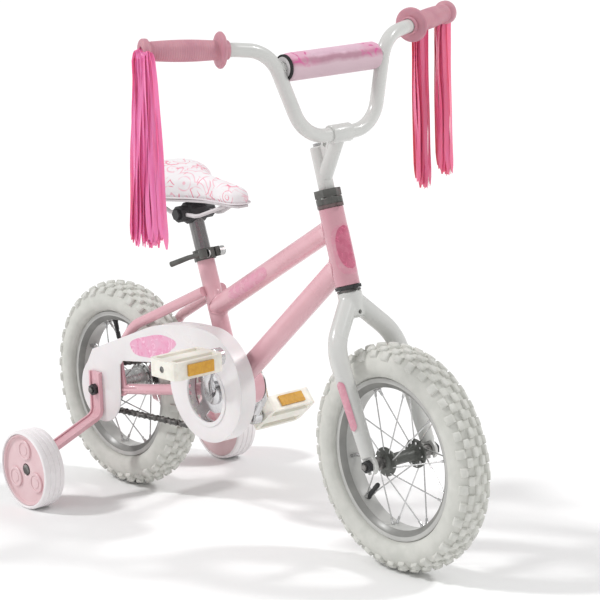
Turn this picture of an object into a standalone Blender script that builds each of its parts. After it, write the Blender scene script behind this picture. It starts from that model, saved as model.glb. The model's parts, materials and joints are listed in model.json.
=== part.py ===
# A child's twelve-inch bicycle with training wheels, streamers and a padded handlebar.
# Metres, +Z up, +X forward, +Y to the rider's left.  The ground is z = 0 and the origin
# lies midway between the two tyres.  Each named object is one real piece.

import math

import bmesh
import bpy
from mathutils import Matrix, Vector

# Gap between touching pieces, and how deep welded pieces run into each other
fit = 0.0003
weld = 0.0010
flat_angle = math.radians(0.5)

# Tyres and rims
wheelbase = 0.6100
tyre_radius = 0.1560
tyre_width = 0.0550
tread_height = 0.0034
tread_gap = 0.0064
tread_pitches = 24
crown_width = 0.0150
bead_clearance = 0.0004
rim_inner_radius = 0.0970
rim_floor_radius = 0.1039
rim_lip_radius = 0.1110
rim_width = 0.0350
rim_wall = 0.0022
spoke_count = 20
spoke_radius = 0.0012
spoke_lead = math.radians(27)
valve_radius = 0.0036
valve_length = 0.0300
front_valve_pitch = 15
rear_valve_pitch = 7

# Hubs and axles
front_flange_radius = 0.0200
front_barrel_radius = 0.0085
front_flange_offset = 0.0270
front_hub_half = 0.0330
rear_flange_radius = 0.0265
rear_barrel_radius = 0.0180
rear_flange_offset = 0.0265
rear_hub_half = 0.0330
flange_thickness = 0.0030
axle_radius = 0.0045
bearing_clearance = 0.0004
cone_radius = 0.0085
axle_overhang = 0.0030
axle_nut_width = 0.0150
axle_nut_height = 0.0070

# Fork and headset
head_angle = math.radians(74)
fork_rake = 0.0315
fork_length = 0.2300
fork_leg_radius = 0.0132
fork_tip_radius = 0.0100
fork_shoulder_drop = 0.0680
fork_knee_reach = 0.0110
fork_bend_radius = 0.0650
fork_neck_length = 0.0360
fork_dropout_gap = 0.0510
fork_dropout_thickness = 0.0050
fork_dropout_radius = 0.0130
steerer_wall = 0.0015
crown_race_radius = 0.0168
crown_race_height = 0.0035
crown_hole_radius = 0.0030
head_tube_length = 0.1065
head_tube_radius = 0.0170
headset_sides = 14
head_tube_wall = 0.0019
head_cup_radius = 0.0180
head_cup_height = 0.0047
head_cup_depth = 0.0090
head_cup_clearance = 0.0010
head_tab_reach = 0.0060
head_tab_width = 0.0090
top_race_height = 0.0105
locknut_height = 0.0095
locknut_width = 0.0320

# Handlebar, stem and pad
bar_radius = 0.0095
bar_sides = 10
bar_reach = 0.0500
bar_rise = 0.2085
bar_bottom_half = 0.0605
bar_shoulder_half = 0.1005
bar_shoulder_rise = 0.3260
bar_lean = 0.0170
bar_bend_radius = 0.0500
bar_elbow_half = 0.1480
bar_elbow_back = 0.0100
bar_elbow_lift = 0.0095
bar_half_width = 0.2620
bar_back_sweep = math.radians(18)
bar_up_sweep = math.radians(9)
crossbar_radius = 0.0080
crossbar_rise = 0.3030
quill_radius = 0.0109
quill_depth = 0.0450
quill_top = 0.1995
quill_bolt_radius = 0.0060
quill_bolt_height = 0.0040
stem_arm_base = 0.1560
stem_arm_radius = 0.0095
stem_cradle_radius = 0.0125
stem_cradle_half = 0.0170
stem_web_thickness = 0.0080
stem_web_hole_radius = 0.0036
stem_web_hole_drop = 0.0025
grip_length = 0.1120
grip_wall = 0.0045
grip_neck_length = 0.0080
grip_flange_radius = 0.0240
grip_flange_thickness = 0.0060
grip_end_radius = 0.0165
grip_end_thickness = 0.0060
streamer_mouth_radius = 0.0060
pad_radius = 0.0195
pad_half_length = 0.0800
pad_cover_thickness = 0.0016
pad_foam_overhang = 0.0020

# Frame
seat_angle = math.radians(72)
seat_tube_length = 0.2030
seat_tube_wall = 0.0015
seat_tube_bore_depth = 0.1150
top_tube_radius = 0.0143
down_tube_radius = 0.0159
down_tube_shell_rise = 0.0060
top_tube_head_offset = 0.0252
down_tube_head_offset = 0.0308
top_tube_seat_height = 0.1180
bottom_bracket_height = 0.1925
shell_radius = 0.0280
shell_wall = 0.0024
shell_half = 0.0310
shell_sides = 16
chain_stay_radius = 0.0080
chain_stay_wheel_place = 0.1270
chain_stay_shell_place = 0.0600
chain_stay_shell_offset = 0.0190
chain_stay_wheel_offset = 0.0395
chain_stay_bend_offset = 0.0262
seat_stay_radius = 0.0075
seat_stay_height = 0.1440
seat_stay_seat_offset = 0.0165
seat_stay_bend_forward = 0.0830
seat_stay_bend_rise = 0.1080
seat_stay_bend_offset = 0.0430
stay_bridge_radius = 0.0060
stay_bridge_place = 0.1880
stay_end_offset = 0.0457
rear_dropout_gap = 0.0475
rear_dropout_thickness = 0.0040
rear_dropout_radius = 0.0170
dropout_lug_radius = 0.0085
chain_stay_end_forward = 0.0480
chain_stay_end_rise = 0.0060
seat_stay_end_forward = 0.0410
seat_stay_end_rise = 0.0600

# Chain drive
chain_pitch = 0.0127
chain_links = 64
ring_teeth = 28
cog_teeth = 16
roller_radius = 0.0033
tooth_rise = 0.0030
tooth_clearance = 0.0012
sprocket_thickness = 0.0026
chain_line = 0.0400
chain_inner_half = 0.0019
chain_plate = 0.0009
chain_plate_gap = 0.0002
chain_plate_height = 0.0078
driver_radius = 0.0140
ring_window_count = 4
drive_pin_radius = 0.0034
drive_pin_offset = 0.0250

# Crank and pedals
crank_length = 0.0970
crank_angle = math.radians(47)
crank_spread = 0.0840
crank_arm_radius = 0.0075
crank_bow_reach = 0.0480
crank_bow_offset = 0.0760
crank_hip_offset = 0.0450
crank_bend_radius = 0.0150
crank_spindle_radius = 0.0105
crank_eye_radius = 0.0125
crank_eye_half = 0.0065
crank_cone_radius = 0.0190
crank_boss_radius = 0.0170
crank_boss_height = 0.0040
bb_cup_flange = 0.0025
bb_cup_depth = 0.0090
bb_cup_clearance = 0.0015
pedal_width = 0.0860
pedal_length = 0.0600
pedal_thickness = 0.0250
pedal_corner = 0.0090
pedal_barrel_half = 0.0110
pedal_side_wall = 0.0080
pedal_end_wall = 0.0060
pedal_axle_radius = 0.0045
pedal_thread_radius = 0.0062
pedal_flange_radius = 0.0088
pedal_flange_length = 0.0028
left_pedal_tilt = math.radians(40)
reflector_width = 0.0440
reflector_height = 0.0160
reflector_depth = 0.0030

# Chain guard and coaster brake arm
guard_thickness = 0.0022
guard_gap = 0.0025
guard_disc_radius = 0.0820
guard_disc_rise = 0.0125
guard_hole_radius = 0.0400
guard_ring_width = 0.0065
guard_ring_height = 0.0015
guard_lobe_radius = 0.0490
guard_lobe_forward = 0.0080
guard_arm_rise = 0.0520
guard_top_slope = math.radians(21)
guard_top_margin = 0.0140
guard_arm_slope = math.radians(8)
guard_skirt_depth = 0.0240
guard_skirt_wall = 0.0018
guard_skirt_end = 0.1250
guard_lug_radius = 0.0040
guard_lug_height = 0.0830
axle_washer_radius = 0.0105
brake_arm_length = 0.1150
brake_arm_width = 0.0120
brake_arm_thickness = 0.0030
brake_arm_offset = 0.0355
brake_arm_drop = 0.0050
brake_arm_disc_radius = 0.0105
brake_strap_width = 0.0080
brake_strap_thickness = 0.0015

# Saddle, post and collar
post_radius = 0.0112
post_insertion = 0.0700
post_exposed = 0.0560
clamp_radius = 0.0160
clamp_end_radius = 0.0120
clamp_half = 0.0290
clamp_nut_height = 0.0050
rail_radius = 0.0030
rail_spacing = 0.0215
rail_drop = 0.0190
rail_flat_half = 0.0350
rail_front_reach = 0.0720
rail_rear_reach = 0.0640
saddle_nose_reach = 0.1200
saddle_tail_reach = 0.0840
saddle_nose_half = 0.0205
saddle_tail_half = 0.0650
saddle_nose_height = 0.0380
saddle_tail_height = 0.0560
saddle_nose_dip = 0.0060
saddle_draw_in = 0.12
saddle_pan_thickness = 0.0030
saddle_pan_inset = 0.0060
collar_thickness = 0.0030
collar_height = 0.0160
collar_ear_reach = 0.0110
collar_ear_half = 0.0085
collar_slot = 0.0030
skewer_radius = 0.0026
skewer_washer_radius = 0.0065
skewer_washer_height = 0.0024
skewer_nut_radius = 0.0070
skewer_nut_length = 0.0095
lever_length = 0.0520
lever_radius = 0.0042
lever_splay = math.radians(30)
lever_cam_radius = 0.0062
lever_cam_half = 0.0060

# Training wheels
trainer_radius = 0.0590
trainer_width = 0.0350
trainer_outer = 0.1985
trainer_tread = 0.0050
trainer_bolt_radius = 0.0050
trainer_bolt_head_radius = 0.0080
trainer_bolt_head_height = 0.0040
trainer_nut_height = 0.0060
trainer_hub_radius = 0.0140
trainer_hub_stand = 0.0100
trainer_lobe_radius = 0.0150
trainer_lobe_offset = 0.0300
trainer_lobe_height = 0.0030
trainer_face_depth = 0.0060
trainer_rim_inset = 0.0020
trainer_rim_wall = 0.0040
trainer_sides = 20
bracket_width = 0.0250
bracket_thickness = 0.0040
bracket_rib_width = 0.0030
bracket_rib_height = 0.0022
bracket_top = 0.0270
bracket_drop = 0.0400
bracket_slope = math.radians(22)
bracket_bend = 0.0140
bracket_foot = 0.0160

# Streamers
streamer_width = 0.0240
streamer_depth = 0.0160
streamer_reach = 0.0120
streamer_knot_reach = 0.0170
streamer_knee_radius = 0.0070
streamer_fall = 0.0600
streamer_flutes = 4
streamer_rings = 5
streamer_sides = 8
# Each strand's shift forward, its shift inward and its length
streamer_strands = {"right": ((0.0130, 0.0, 0.2470), (0.0390, 0.0080, 0.2320)),
                    "left": ((-0.0175, 0.0, 0.2340), (-0.0400, 0.0222, 0.2535))}

# Places that follow from the sizes
rear_axle = Vector((0, 0, tyre_radius))
front_axle = Vector((wheelbase, 0, tyre_radius))
steer_turn = Matrix.Rotation(head_angle - math.pi / 2, 4, "Y")
crown_seat = front_axle - steer_turn @ Vector((fork_rake, 0, -fork_length))
steering_frame = Matrix.Translation(crown_seat) @ steer_turn
steerer_bore = quill_radius + fit
steerer_radius = steerer_bore + steerer_wall
head_bore = head_tube_radius - head_tube_wall
head_tube_base = crown_race_height + head_cup_height + 2 * fit
head_tube_top = head_tube_base + head_tube_length
headset_base = head_tube_top + head_cup_height + 2 * fit
headset_top_height = headset_base + top_race_height + locknut_height
seat_tube_bore = post_radius + fit
seat_tube_radius = seat_tube_bore + seat_tube_wall
shell_bore = shell_radius - shell_wall


def pitch_radius(teeth):
    """Radius on which the chain's pins ride round a toothed wheel."""
    return chain_pitch / (2 * math.sin(math.pi / teeth))


def chain_centre_distance():
    """Distance between the two toothed wheels that takes up a whole number of links."""
    step = pitch_radius(ring_teeth) - pitch_radius(cog_teeth)
    distance = wheelbase / 2
    for _ in range(60):
        lean = math.asin(step / distance)
        free = 2 * math.sqrt(distance ** 2 - step ** 2) / chain_pitch
        wrapped = (ring_teeth + cog_teeth) / 2 + (ring_teeth - cog_teeth) * lean / math.pi
        distance += (chain_links - free - wrapped) * chain_pitch / 2
    return distance


centre_distance = chain_centre_distance()
centre_rise = bottom_bracket_height - tyre_radius
chain_slope = math.asin(centre_rise / centre_distance)
bottom_bracket = rear_axle + Vector((centre_distance * math.cos(chain_slope), 0, centre_rise))
seat_frame = Matrix.Translation(bottom_bracket) @ Matrix.Rotation(seat_angle - math.pi / 2, 4, "Y")
guard_inner = rear_dropout_gap + rear_dropout_thickness + guard_gap
guard_outer = guard_inner + guard_thickness
front_dropout_outer = fork_dropout_gap + fork_dropout_thickness
rear_dropout_outer = rear_dropout_gap + rear_dropout_thickness
bracket_inner = {-1: guard_outer + fit, 1: rear_dropout_outer + fit}


# Mesh helpers
def clear_scene():
    for item in list(bpy.data.objects):
        bpy.data.objects.remove(item, do_unlink=True)


def as_object(bm, name):
    bmesh.ops.recalc_face_normals(bm, faces=bm.faces)
    mesh = bpy.data.meshes.new(name)
    bm.to_mesh(mesh)
    bm.free()
    item = bpy.data.objects.new(name, mesh)
    bpy.context.scene.collection.objects.link(item)
    return item


def merge_flat_faces(mesh):
    """Join the coplanar faces that a Boolean leaves behind."""
    bm = bmesh.new()
    bm.from_mesh(mesh)
    bmesh.ops.remove_doubles(bm, verts=bm.verts, dist=2e-6)
    bmesh.ops.dissolve_degenerate(bm, dist=2e-6, edges=bm.edges)
    bmesh.ops.dissolve_limit(bm, angle_limit=flat_angle, verts=bm.verts, edges=bm.edges)
    bm.to_mesh(mesh)
    bm.free()


def combine(item, tools, operation):
    """Boolean each tool into the item, apply it and remove the tool."""
    for tool in tools:
        modifier = item.modifiers.new("combine", "BOOLEAN")
        modifier.operation = operation
        modifier.solver = "EXACT"
        modifier.object = tool
        tool.hide_render = True
        tool.display_type = "WIRE"
        depsgraph = bpy.context.evaluated_depsgraph_get()
        result = bpy.data.meshes.new_from_object(item.evaluated_get(depsgraph))
        item.modifiers.clear()
        item.data = result
        bpy.data.objects.remove(tool, do_unlink=True)
        merge_flat_faces(item.data)
    return item


def union(item, *tools):
    return combine(item, tools, "UNION")


def subtract(item, *tools):
    return combine(item, tools, "DIFFERENCE")


def moved(item, matrix):
    item.data.transform(matrix)
    return item


def circle(radius, count, x=0.0, z=0.0, phase=0.0):
    """Corner points of a round outline."""
    turns = [phase + math.tau * k / count for k in range(count)]
    return [(x + radius * math.cos(t), z + radius * math.sin(t)) for t in turns]


def arc(radius, start, stop, steps, x=0.0, z=0.0):
    turns = [start + (stop - start) * k / steps for k in range(steps + 1)]
    return [(x + radius * math.cos(t), z + radius * math.sin(t)) for t in turns]


def hull(points):
    """Convex outline round a set of 2-D points, anticlockwise."""
    ordered = sorted(set(points))

    def half(sequence):
        chain = []
        for p in sequence:
            while len(chain) > 1:
                (ax, az), (bx, bz) = chain[-2], chain[-1]
                if (bx - ax) * (p[1] - az) - (bz - az) * (p[0] - ax) > 1e-12:
                    break
                chain.pop()
            chain.append(p)
        return chain[:-1]

    return half(ordered) + half(ordered[::-1])


def inset_outline(outline, distance):
    """The open outline moved sideways to the left of its direction."""
    moved_points = []
    last = len(outline) - 1
    for k, (x, z) in enumerate(outline):
        ax, az = outline[max(k - 1, 0)]
        bx, bz = outline[min(k + 1, last)]
        length = math.hypot(bx - ax, bz - az)
        moved_points.append((x - (bz - az) / length * distance, z + (bx - ax) / length * distance))
    return moved_points


def plate(name, outline, holes, low, high, normal="Y"):
    """Flat piece with holes, its thickness along Y or Z."""
    bm = bmesh.new()
    edges = []
    for loop in [outline] + list(holes):
        if normal == "Y":
            verts = [bm.verts.new((a, low, b)) for a, b in loop]
        else:
            verts = [bm.verts.new((a, b, low)) for a, b in loop]
        edges += [bm.edges.new(pair) for pair in zip(verts, verts[1:] + verts[:1])]
    if holes:
        bmesh.ops.triangle_fill(bm, use_beauty=True, use_dissolve=False, edges=edges)
    else:
        bm.faces.new(verts)
    grown = bmesh.ops.extrude_face_region(bm, geom=list(bm.faces), use_keep_orig=True)
    raised = [part for part in grown["geom"] if isinstance(part, bmesh.types.BMVert)]
    rise = Vector((0, high - low, 0)) if normal == "Y" else Vector((0, 0, high - low))
    bmesh.ops.translate(bm, verts=raised, vec=rise)
    return as_object(bm, name)


def turned(name, profile, segments, axis="Y", ring=True, phase=0.0):
    """Turned piece from (radius, place along the axis) points."""
    bm = bmesh.new()
    cos_phase, sin_phase = math.cos(phase), math.sin(phase)
    if axis == "Y":
        verts = [bm.verts.new((r * cos_phase, t, r * sin_phase)) for r, t in profile]
        direction = (0, 1, 0)
    else:
        verts = [bm.verts.new((r * cos_phase, r * sin_phase, t)) for r, t in profile]
        direction = (0, 0, 1)
    edges = [bm.edges.new(pair) for pair in zip(verts, verts[1:])]
    if ring:
        edges.append(bm.edges.new((verts[-1], verts[0])))
    bmesh.ops.spin(bm, geom=verts + edges, cent=(0, 0, 0), axis=direction, angle=math.tau,
                   steps=segments, use_merge=True)
    bmesh.ops.remove_doubles(bm, verts=bm.verts, dist=1e-6)
    return as_object(bm, name)


def rod(name, radius, low, high, segments=16, axis="Y", x=0.0, z=0.0, phase=0.0):
    """Solid round bar along Y, or along Z where x and z are its X and Y."""
    return plate(name, circle(radius, segments, x, z, phase), [], low, high, axis)


def rounded_path(corners, radii, steps=5):
    """Points of a path whose inner corners are arcs of the given radii."""
    points = [Vector(corners[0])]
    for k in range(1, len(corners) - 1):
        corner = Vector(corners[k])
        back = (Vector(corners[k - 1]) - corner).normalized()
        ahead = (Vector(corners[k + 1]) - corner).normalized()
        half = back.angle(ahead) / 2
        radius = radii[k - 1]
        centre = corner + (back + ahead).normalized() * radius / math.sin(half)
        start = corner + back * radius / math.tan(half) - centre
        stop = corner + ahead * radius / math.tan(half) - centre
        for step in range(steps + 1):
            points.append(centre + start.slerp(stop, step / steps).normalized() * start.length)
    points.append(Vector(corners[-1]))
    return points


def loft(name, rings, closed=False):
    """Skin over rings that have the same number of points."""
    bm = bmesh.new()
    rows = [[bm.verts.new(p) for p in ring] for ring in rings]
    pairs = list(zip(rows, rows[1:]))
    if closed:
        pairs.append((rows[-1], rows[0]))
    for row, following in pairs:
        for k in range(len(row)):
            j = (k + 1) % len(row)
            bm.faces.new((row[k], row[j], following[j], following[k]))
    if not closed:
        bm.faces.new(rows[0][::-1])
        bm.faces.new(rows[-1])
    return as_object(bm, name)


def frames_along(points, across):
    """Two cross directions at each point of a path, the first kept near one direction."""
    frames = []
    for k, point in enumerate(points):
        before = points[max(k - 1, 0)]
        after = points[min(k + 1, len(points) - 1)]
        tangent = (after - before).normalized()
        first = (across - tangent * across.dot(tangent)).normalized()
        frames.append((point, first, tangent.cross(first)))
    return frames


def sweep(name, points, radii, sides=12, across=Vector((0, 0, 1))):
    """Round tube along a path; its radii are spread evenly over its length."""
    lengths = [0.0]
    for a, b in zip(points, points[1:]):
        lengths.append(lengths[-1] + (b - a).length)
    rings = []
    for (point, u, v), length in zip(frames_along(points, across), lengths):
        place = length / lengths[-1] * (len(radii) - 1)
        before = min(int(place), len(radii) - 2)
        radius = radii[before] + (radii[before + 1] - radii[before]) * (place - before)
        turns = [math.tau * (k + 0.5) / sides for k in range(sides)]
        rings.append([point + u * radius * math.cos(t) + v * radius * math.sin(t) for t in turns])
    return loft(name, rings)


def profile_sweep(name, points, section, across):
    """Tube of any section; the section's points are (along across, along the other way)."""
    frames = frames_along(points, across)
    return loft(name, [[p + u * a + v * b for a, b in section] for p, u, v in frames])


# Looks
look_values = {
    "pink_paint": ((0.86, 0.42, 0.52), 0.30, 0.0),
    "white_paint": ((0.86, 0.86, 0.86), 0.30, 0.0),
    "black_plastic": ((0.03, 0.03, 0.03), 0.50, 0.0),
    "chrome": ((0.75, 0.75, 0.76), 0.18, 1.0),
    "dark_steel": ((0.10, 0.10, 0.10), 0.40, 1.0),
    "steel": ((0.55, 0.55, 0.55), 0.35, 1.0),
    "tyre_rubber": ((0.60, 0.60, 0.57), 0.75, 0.0),
    "rim_white": ((0.80, 0.80, 0.79), 0.35, 0.0),
    "grip_rubber": ((0.87, 0.60, 0.70), 0.60, 0.0),
    "pad_fabric": ((0.80, 0.62, 0.76), 0.70, 0.0),
    "foam": ((0.05, 0.05, 0.05), 0.90, 0.0),
    "streamer_film": ((0.85, 0.08, 0.35), 0.25, 0.0),
    "saddle_vinyl": ((0.84, 0.78, 0.80), 0.45, 0.0),
    "guard_plastic": ((0.84, 0.83, 0.82), 0.35, 0.0),
    "pedal_plastic": ((0.86, 0.86, 0.82), 0.45, 0.0),
    "reflector_amber": ((0.85, 0.35, 0.03), 0.20, 0.0),
    "trainer_plastic": ((0.86, 0.45, 0.58), 0.40, 0.0),
}


def make_looks():
    looks = {}
    for name, (color, roughness, metallic) in look_values.items():
        material = bpy.data.materials.new(name)
        material.use_nodes = True
        shader = material.node_tree.nodes["Principled BSDF"]
        shader.inputs["Base Color"].default_value = (*color, 1.0)
        shader.inputs["Roughness"].default_value = roughness
        shader.inputs["Metallic"].default_value = metallic
        material.diffuse_color = (*color, 1.0)
        looks[name] = material
    return looks


def pivot(name, parent, matrix):
    item = bpy.data.objects.new(name, None)
    bpy.context.scene.collection.objects.link(item)
    item.parent = parent
    item.matrix_local = matrix
    return item


def finish(item, look, parent, sharp=math.radians(38)):
    item.data.materials.clear()
    item.data.materials.append(look)
    item.data.shade_smooth()
    item.data.set_sharp_from_angle(angle=sharp)
    item.parent = parent
    return item


# Wheels
half_pitch = math.pi / tread_pitches


def make_tyre(name):
    """Knobbly tyre: a turned carcass whose crown blocks and staggered side blocks are raised."""
    base = (tyre_radius - tread_height) / math.cos(half_pitch)
    bead = rim_floor_radius + bead_clearance
    bead_half = rim_width / 2 - rim_wall - 2 * bead_clearance
    belly = rim_lip_radius + 0.0150
    shoulder = base - 0.0095
    half = tyre_width / 2
    side = [(base, crown_width / 2), (shoulder, half * 0.90), (belly, half),
            (rim_lip_radius + 2 * bead_clearance, bead_half), (bead, bead_half)]
    profile = side + [(r, -y) for r, y in reversed(side)]
    item = turned(name, profile, tread_pitches, phase=half_pitch)
    bm = bmesh.new()
    bm.from_mesh(item.data)
    crown, shoulders = [], []
    for face in bm.faces:
        centre = face.calc_center_median()
        if math.hypot(centre.x, centre.z) < shoulder:
            continue
        pitch = round(math.atan2(centre.z, centre.x) / (2 * half_pitch))
        if abs(centre.y) < crown_width / 4:
            crown.append(face)
        elif (pitch + (centre.y > 0)) % 2 == 0:
            shoulders.append(face)
    bmesh.ops.inset_individual(bm, faces=crown, thickness=tread_gap / 2, depth=tread_height)
    bmesh.ops.inset_individual(bm, faces=shoulders, thickness=tread_gap * 0.4, depth=tread_height)
    bm.to_mesh(item.data)
    bm.free()
    return item


def make_rim(name):
    half = rim_width / 2
    side = [(rim_floor_radius, half - rim_wall - bead_clearance), (rim_lip_radius, half - rim_wall),
            (rim_lip_radius, half), (rim_inner_radius, half - 0.0065)]
    profile = side + [(r, -y) for r, y in reversed(side)]
    return turned(name, profile, tread_pitches, phase=half_pitch)


def make_hub(name, half, barrel, flange, offset):
    """Turned hub shell whose two flanges are drawn out into spokes, crossed as seen from the side."""
    bore = axle_radius + bearing_clearance
    outer = offset + flange_thickness / 2
    inner = offset - flange_thickness / 2
    end = max(cone_radius, barrel * 0.7)
    side = [(bore, half), (end, half), (flange, outer), (flange, inner), (barrel, inner)]
    profile = side + [(r, -y) for r, y in reversed(side)]
    per_flange = spoke_count // 2
    hub = turned(name, profile, per_flange, phase=math.pi / per_flange)
    bm = bmesh.new()
    bm.from_mesh(hub.data)
    edge = flange * math.cos(math.pi / per_flange) * 0.99
    rim_faces = [f for f in bm.faces if f.calc_center_median().xz.length > edge
                 and abs(abs(f.calc_center_median().y) - offset) < flange_thickness / 4]
    seat = rim_inner_radius * math.cos(half_pitch) - fit - spoke_radius / 4
    grown = bmesh.ops.extrude_discrete_faces(bm, faces=rim_faces)["faces"]
    for face in grown:
        centre = face.calc_center_median()
        reach = max((v.co - centre).length for v in face.verts)
        bmesh.ops.scale(bm, verts=face.verts, vec=Vector((1, 1, 1)) * spoke_radius / reach,
                        space=Matrix.Translation(-centre))
    for face in bmesh.ops.extrude_discrete_faces(bm, faces=grown)["faces"]:
        centre = face.calc_center_median()
        side = math.copysign(1, centre.y)
        turn = math.atan2(centre.z, centre.x) + side * spoke_lead
        head = Vector((seat * math.cos(turn), side * spoke_radius * 3, seat * math.sin(turn)))
        bmesh.ops.translate(bm, verts=face.verts, vec=head - centre)
    bm.to_mesh(hub.data)
    bm.free()
    return hub


def make_axle(name, cones, half_ends):
    """Threaded axle with its cones and locknuts screwed against the dropouts."""
    profile = [(0, half_ends[0]), (axle_radius, half_ends[0])]
    for low, high in cones:
        profile += [(axle_radius, low), (cone_radius, low), (cone_radius, high), (axle_radius, high)]
    profile += [(axle_radius, half_ends[1]), (0, half_ends[1])]
    return turned(name, profile, 10, ring=False)


def make_hex_nut(name, width, low, high, bore):
    outline = circle(width / math.sqrt(3), 6, phase=math.pi / 6)
    return plate(name, outline, [circle(bore, 8)], low, high)


def make_valve(name, turn):
    """Valve stem that stands inward from the rim."""
    seat = rim_inner_radius * math.cos(half_pitch) - fit
    profile = [(0, seat), (valve_radius, seat), (valve_radius, seat - valve_length * 0.55),
               (valve_radius * 0.72, seat - valve_length * 0.62),
               (valve_radius * 0.72, seat - valve_length), (0, seat - valve_length)]
    item = turned(name, profile, 6, axis="Z", ring=False)
    return moved(item, Matrix.Rotation(math.pi / 2 - turn, 4, "Y"))


def wheel_pieces(end, looks, hub_pivot, axle_pivot):
    """Everything of one wheel but the driver: tyre, rim, hub, valve, axle and nuts."""
    if end == "front":
        hub = make_hub("hub_front", front_hub_half, front_barrel_radius, front_flange_radius,
                       front_flange_offset)
        turn = math.tau * front_valve_pitch / tread_pitches
        ends = [(side, front_dropout_outer + fit) for side in (-1, 1)]
        cones = [(-fork_dropout_gap + fit, -front_hub_half - fit),
                 (front_hub_half + fit, fork_dropout_gap - fit)]
        look = looks["dark_steel"]
    else:
        hub = make_hub("hub_rear", rear_hub_half, rear_barrel_radius, rear_flange_radius, rear_flange_offset)
        turn = math.tau * rear_valve_pitch / tread_pitches
        ends = [(side, bracket_inner[side] + bracket_thickness + fit) for side in (-1, 1)]
        driver_end = chain_line + sprocket_thickness
        cones = [(-rear_dropout_gap + fit, -driver_end - fit),
                 (brake_arm_offset + brake_arm_thickness / 2 + fit, rear_dropout_gap - fit)]
        look = looks["steel"]
    finish(make_tyre("tyre_" + end), looks["tyre_rubber"], hub_pivot)
    finish(make_rim("rim_" + end), looks["rim_white"], hub_pivot)
    finish(hub, look, hub_pivot)
    finish(make_valve("valve_" + end, turn), looks["black_plastic"], hub_pivot)
    reach = [side * (start + axle_nut_height + axle_overhang) for side, start in ends]
    finish(make_axle("axle_" + end, cones, reach), looks["dark_steel"], axle_pivot)
    for side, start in ends:
        low, high = sorted((side * start, side * (start + axle_nut_height)))
        label = "left" if side > 0 else "right"
        nut = make_hex_nut(f"nut_{end}_{label}", axle_nut_width, low, high, axle_radius + 2 * fit)
        finish(nut, looks["black_plastic"], axle_pivot)


# Fork and headset, in the steering frame: Z up the steerer, X forward
def make_fork(looks, parent):
    fork = turned("fork", [(0, -fork_neck_length), (crown_race_radius * 0.75, -fork_neck_length),
                           (crown_race_radius, -fork_neck_length * 0.4), (crown_race_radius, 0),
                           (steerer_radius, 0), (steerer_radius, headset_top_height - fit * 8),
                           (0, headset_top_height - fit * 8)], headset_sides, axis="Z", ring=False)
    leg_offset = (fork_dropout_gap + front_dropout_outer) / 2
    for side in (-1, 1):
        top = Vector((0, side * weld * 3, -0.0100))
        knee = Vector((fork_knee_reach, side * leg_offset, -fork_shoulder_drop))
        foot = Vector((fork_rake, side * leg_offset, -fork_length))
        tip = foot + (knee - foot).normalized() * fork_dropout_radius * 0.8
        path = rounded_path([top, knee, tip], [fork_bend_radius], 3)
        union(fork, sweep("leg", path, (fork_leg_radius, fork_tip_radius), 8, Vector((1, 0, 0))))
        outline = hull(circle(fork_dropout_radius, 12, foot.x, foot.z)
                       + circle(fork_tip_radius * 0.8, 10, tip.x - 0.0030, tip.z + 0.0140))
        low, high = sorted((side * fork_dropout_gap, side * front_dropout_outer))
        union(fork, plate("tab", outline, [], low, high))
        slot_half = axle_radius + 2 * fit
        slot = [(foot.x - slot_half, foot.z - 0.0300), (foot.x + slot_half, foot.z - 0.0300)]
        slot += arc(slot_half, 0, math.pi, 6, foot.x, foot.z)
        reach = fork_tip_radius + weld
        subtract(fork, plate("slot", slot, [], side * leg_offset - reach, side * leg_offset + reach))
    subtract(fork, rod("bore", steerer_bore, 0.0150, headset_top_height + weld, headset_sides, "Z"))
    bolt_hole = rod("hole", crown_hole_radius, -0.0300, 0.0300, 10, "Z")
    hole_turn = Matrix.Rotation(math.pi / 2, 4, "Y")
    hole_turn.translation = (0.0150, 0, -fork_neck_length * 0.8)
    subtract(fork, moved(bolt_hole, hole_turn))
    finish(fork, looks["white_paint"], parent)


def headset_ring(name, base, height, radius, depth, upward):
    """Pressed cup: a flange outside the head tube and a sleeve inside it, with a front tab."""
    bore = steerer_radius + head_cup_clearance
    sleeve = head_bore - fit
    if upward:
        profile = [(bore, base), (radius, base), (radius, base + height), (sleeve, base + height),
                   (sleeve, base + height + depth), (bore, base + height + depth)]
    else:
        profile = [(bore, base - depth), (sleeve, base - depth), (sleeve, base), (radius, base),
                   (radius, base + height), (bore, base + height)]
    ring = turned(name, profile, headset_sides, axis="Z")
    half = head_tab_width / 2
    outline = [(radius - 0.0040, -half), (radius + head_tab_reach, -half * 0.6),
               (radius + head_tab_reach, half * 0.6), (radius - 0.0040, half)]
    rise = height * 0.15
    return union(ring, plate("tab", outline, [], base + rise, base + height - rise, "Z"))


def make_headset(looks, frame_parent, fork_parent):
    bore = steerer_radius + fit
    race = turned("crown_race", [(bore, fit), (crown_race_radius, fit),
                                 (crown_race_radius * 0.95, crown_race_height),
                                 (bore, crown_race_height)], headset_sides, axis="Z")
    finish(race, looks["dark_steel"], fork_parent)
    low_base = crown_race_height + fit
    lower = headset_ring("cup_lower", low_base, head_cup_height, head_cup_radius, head_cup_depth, True)
    upper = headset_ring("cup_upper", head_tube_top + fit, head_cup_height, head_cup_radius, head_cup_depth,
                         False)
    for cup in (lower, upper):
        finish(moved(cup, steering_frame), looks["black_plastic"], frame_parent)
    middle = headset_base + top_race_height
    profile = [(bore, headset_base), (head_cup_radius, headset_base), (head_cup_radius, middle - 0.0030),
               (head_cup_radius - 0.0020, middle), (bore, middle)]
    top = turned("headset_top", profile, headset_sides, axis="Z")
    outline = circle(locknut_width / math.sqrt(3), 6)
    nut = plate("locknut", outline, [circle(bore, headset_sides)], middle - weld, middle + locknut_height,
                "Z")
    finish(union(top, nut), looks["black_plastic"], fork_parent)


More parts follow.
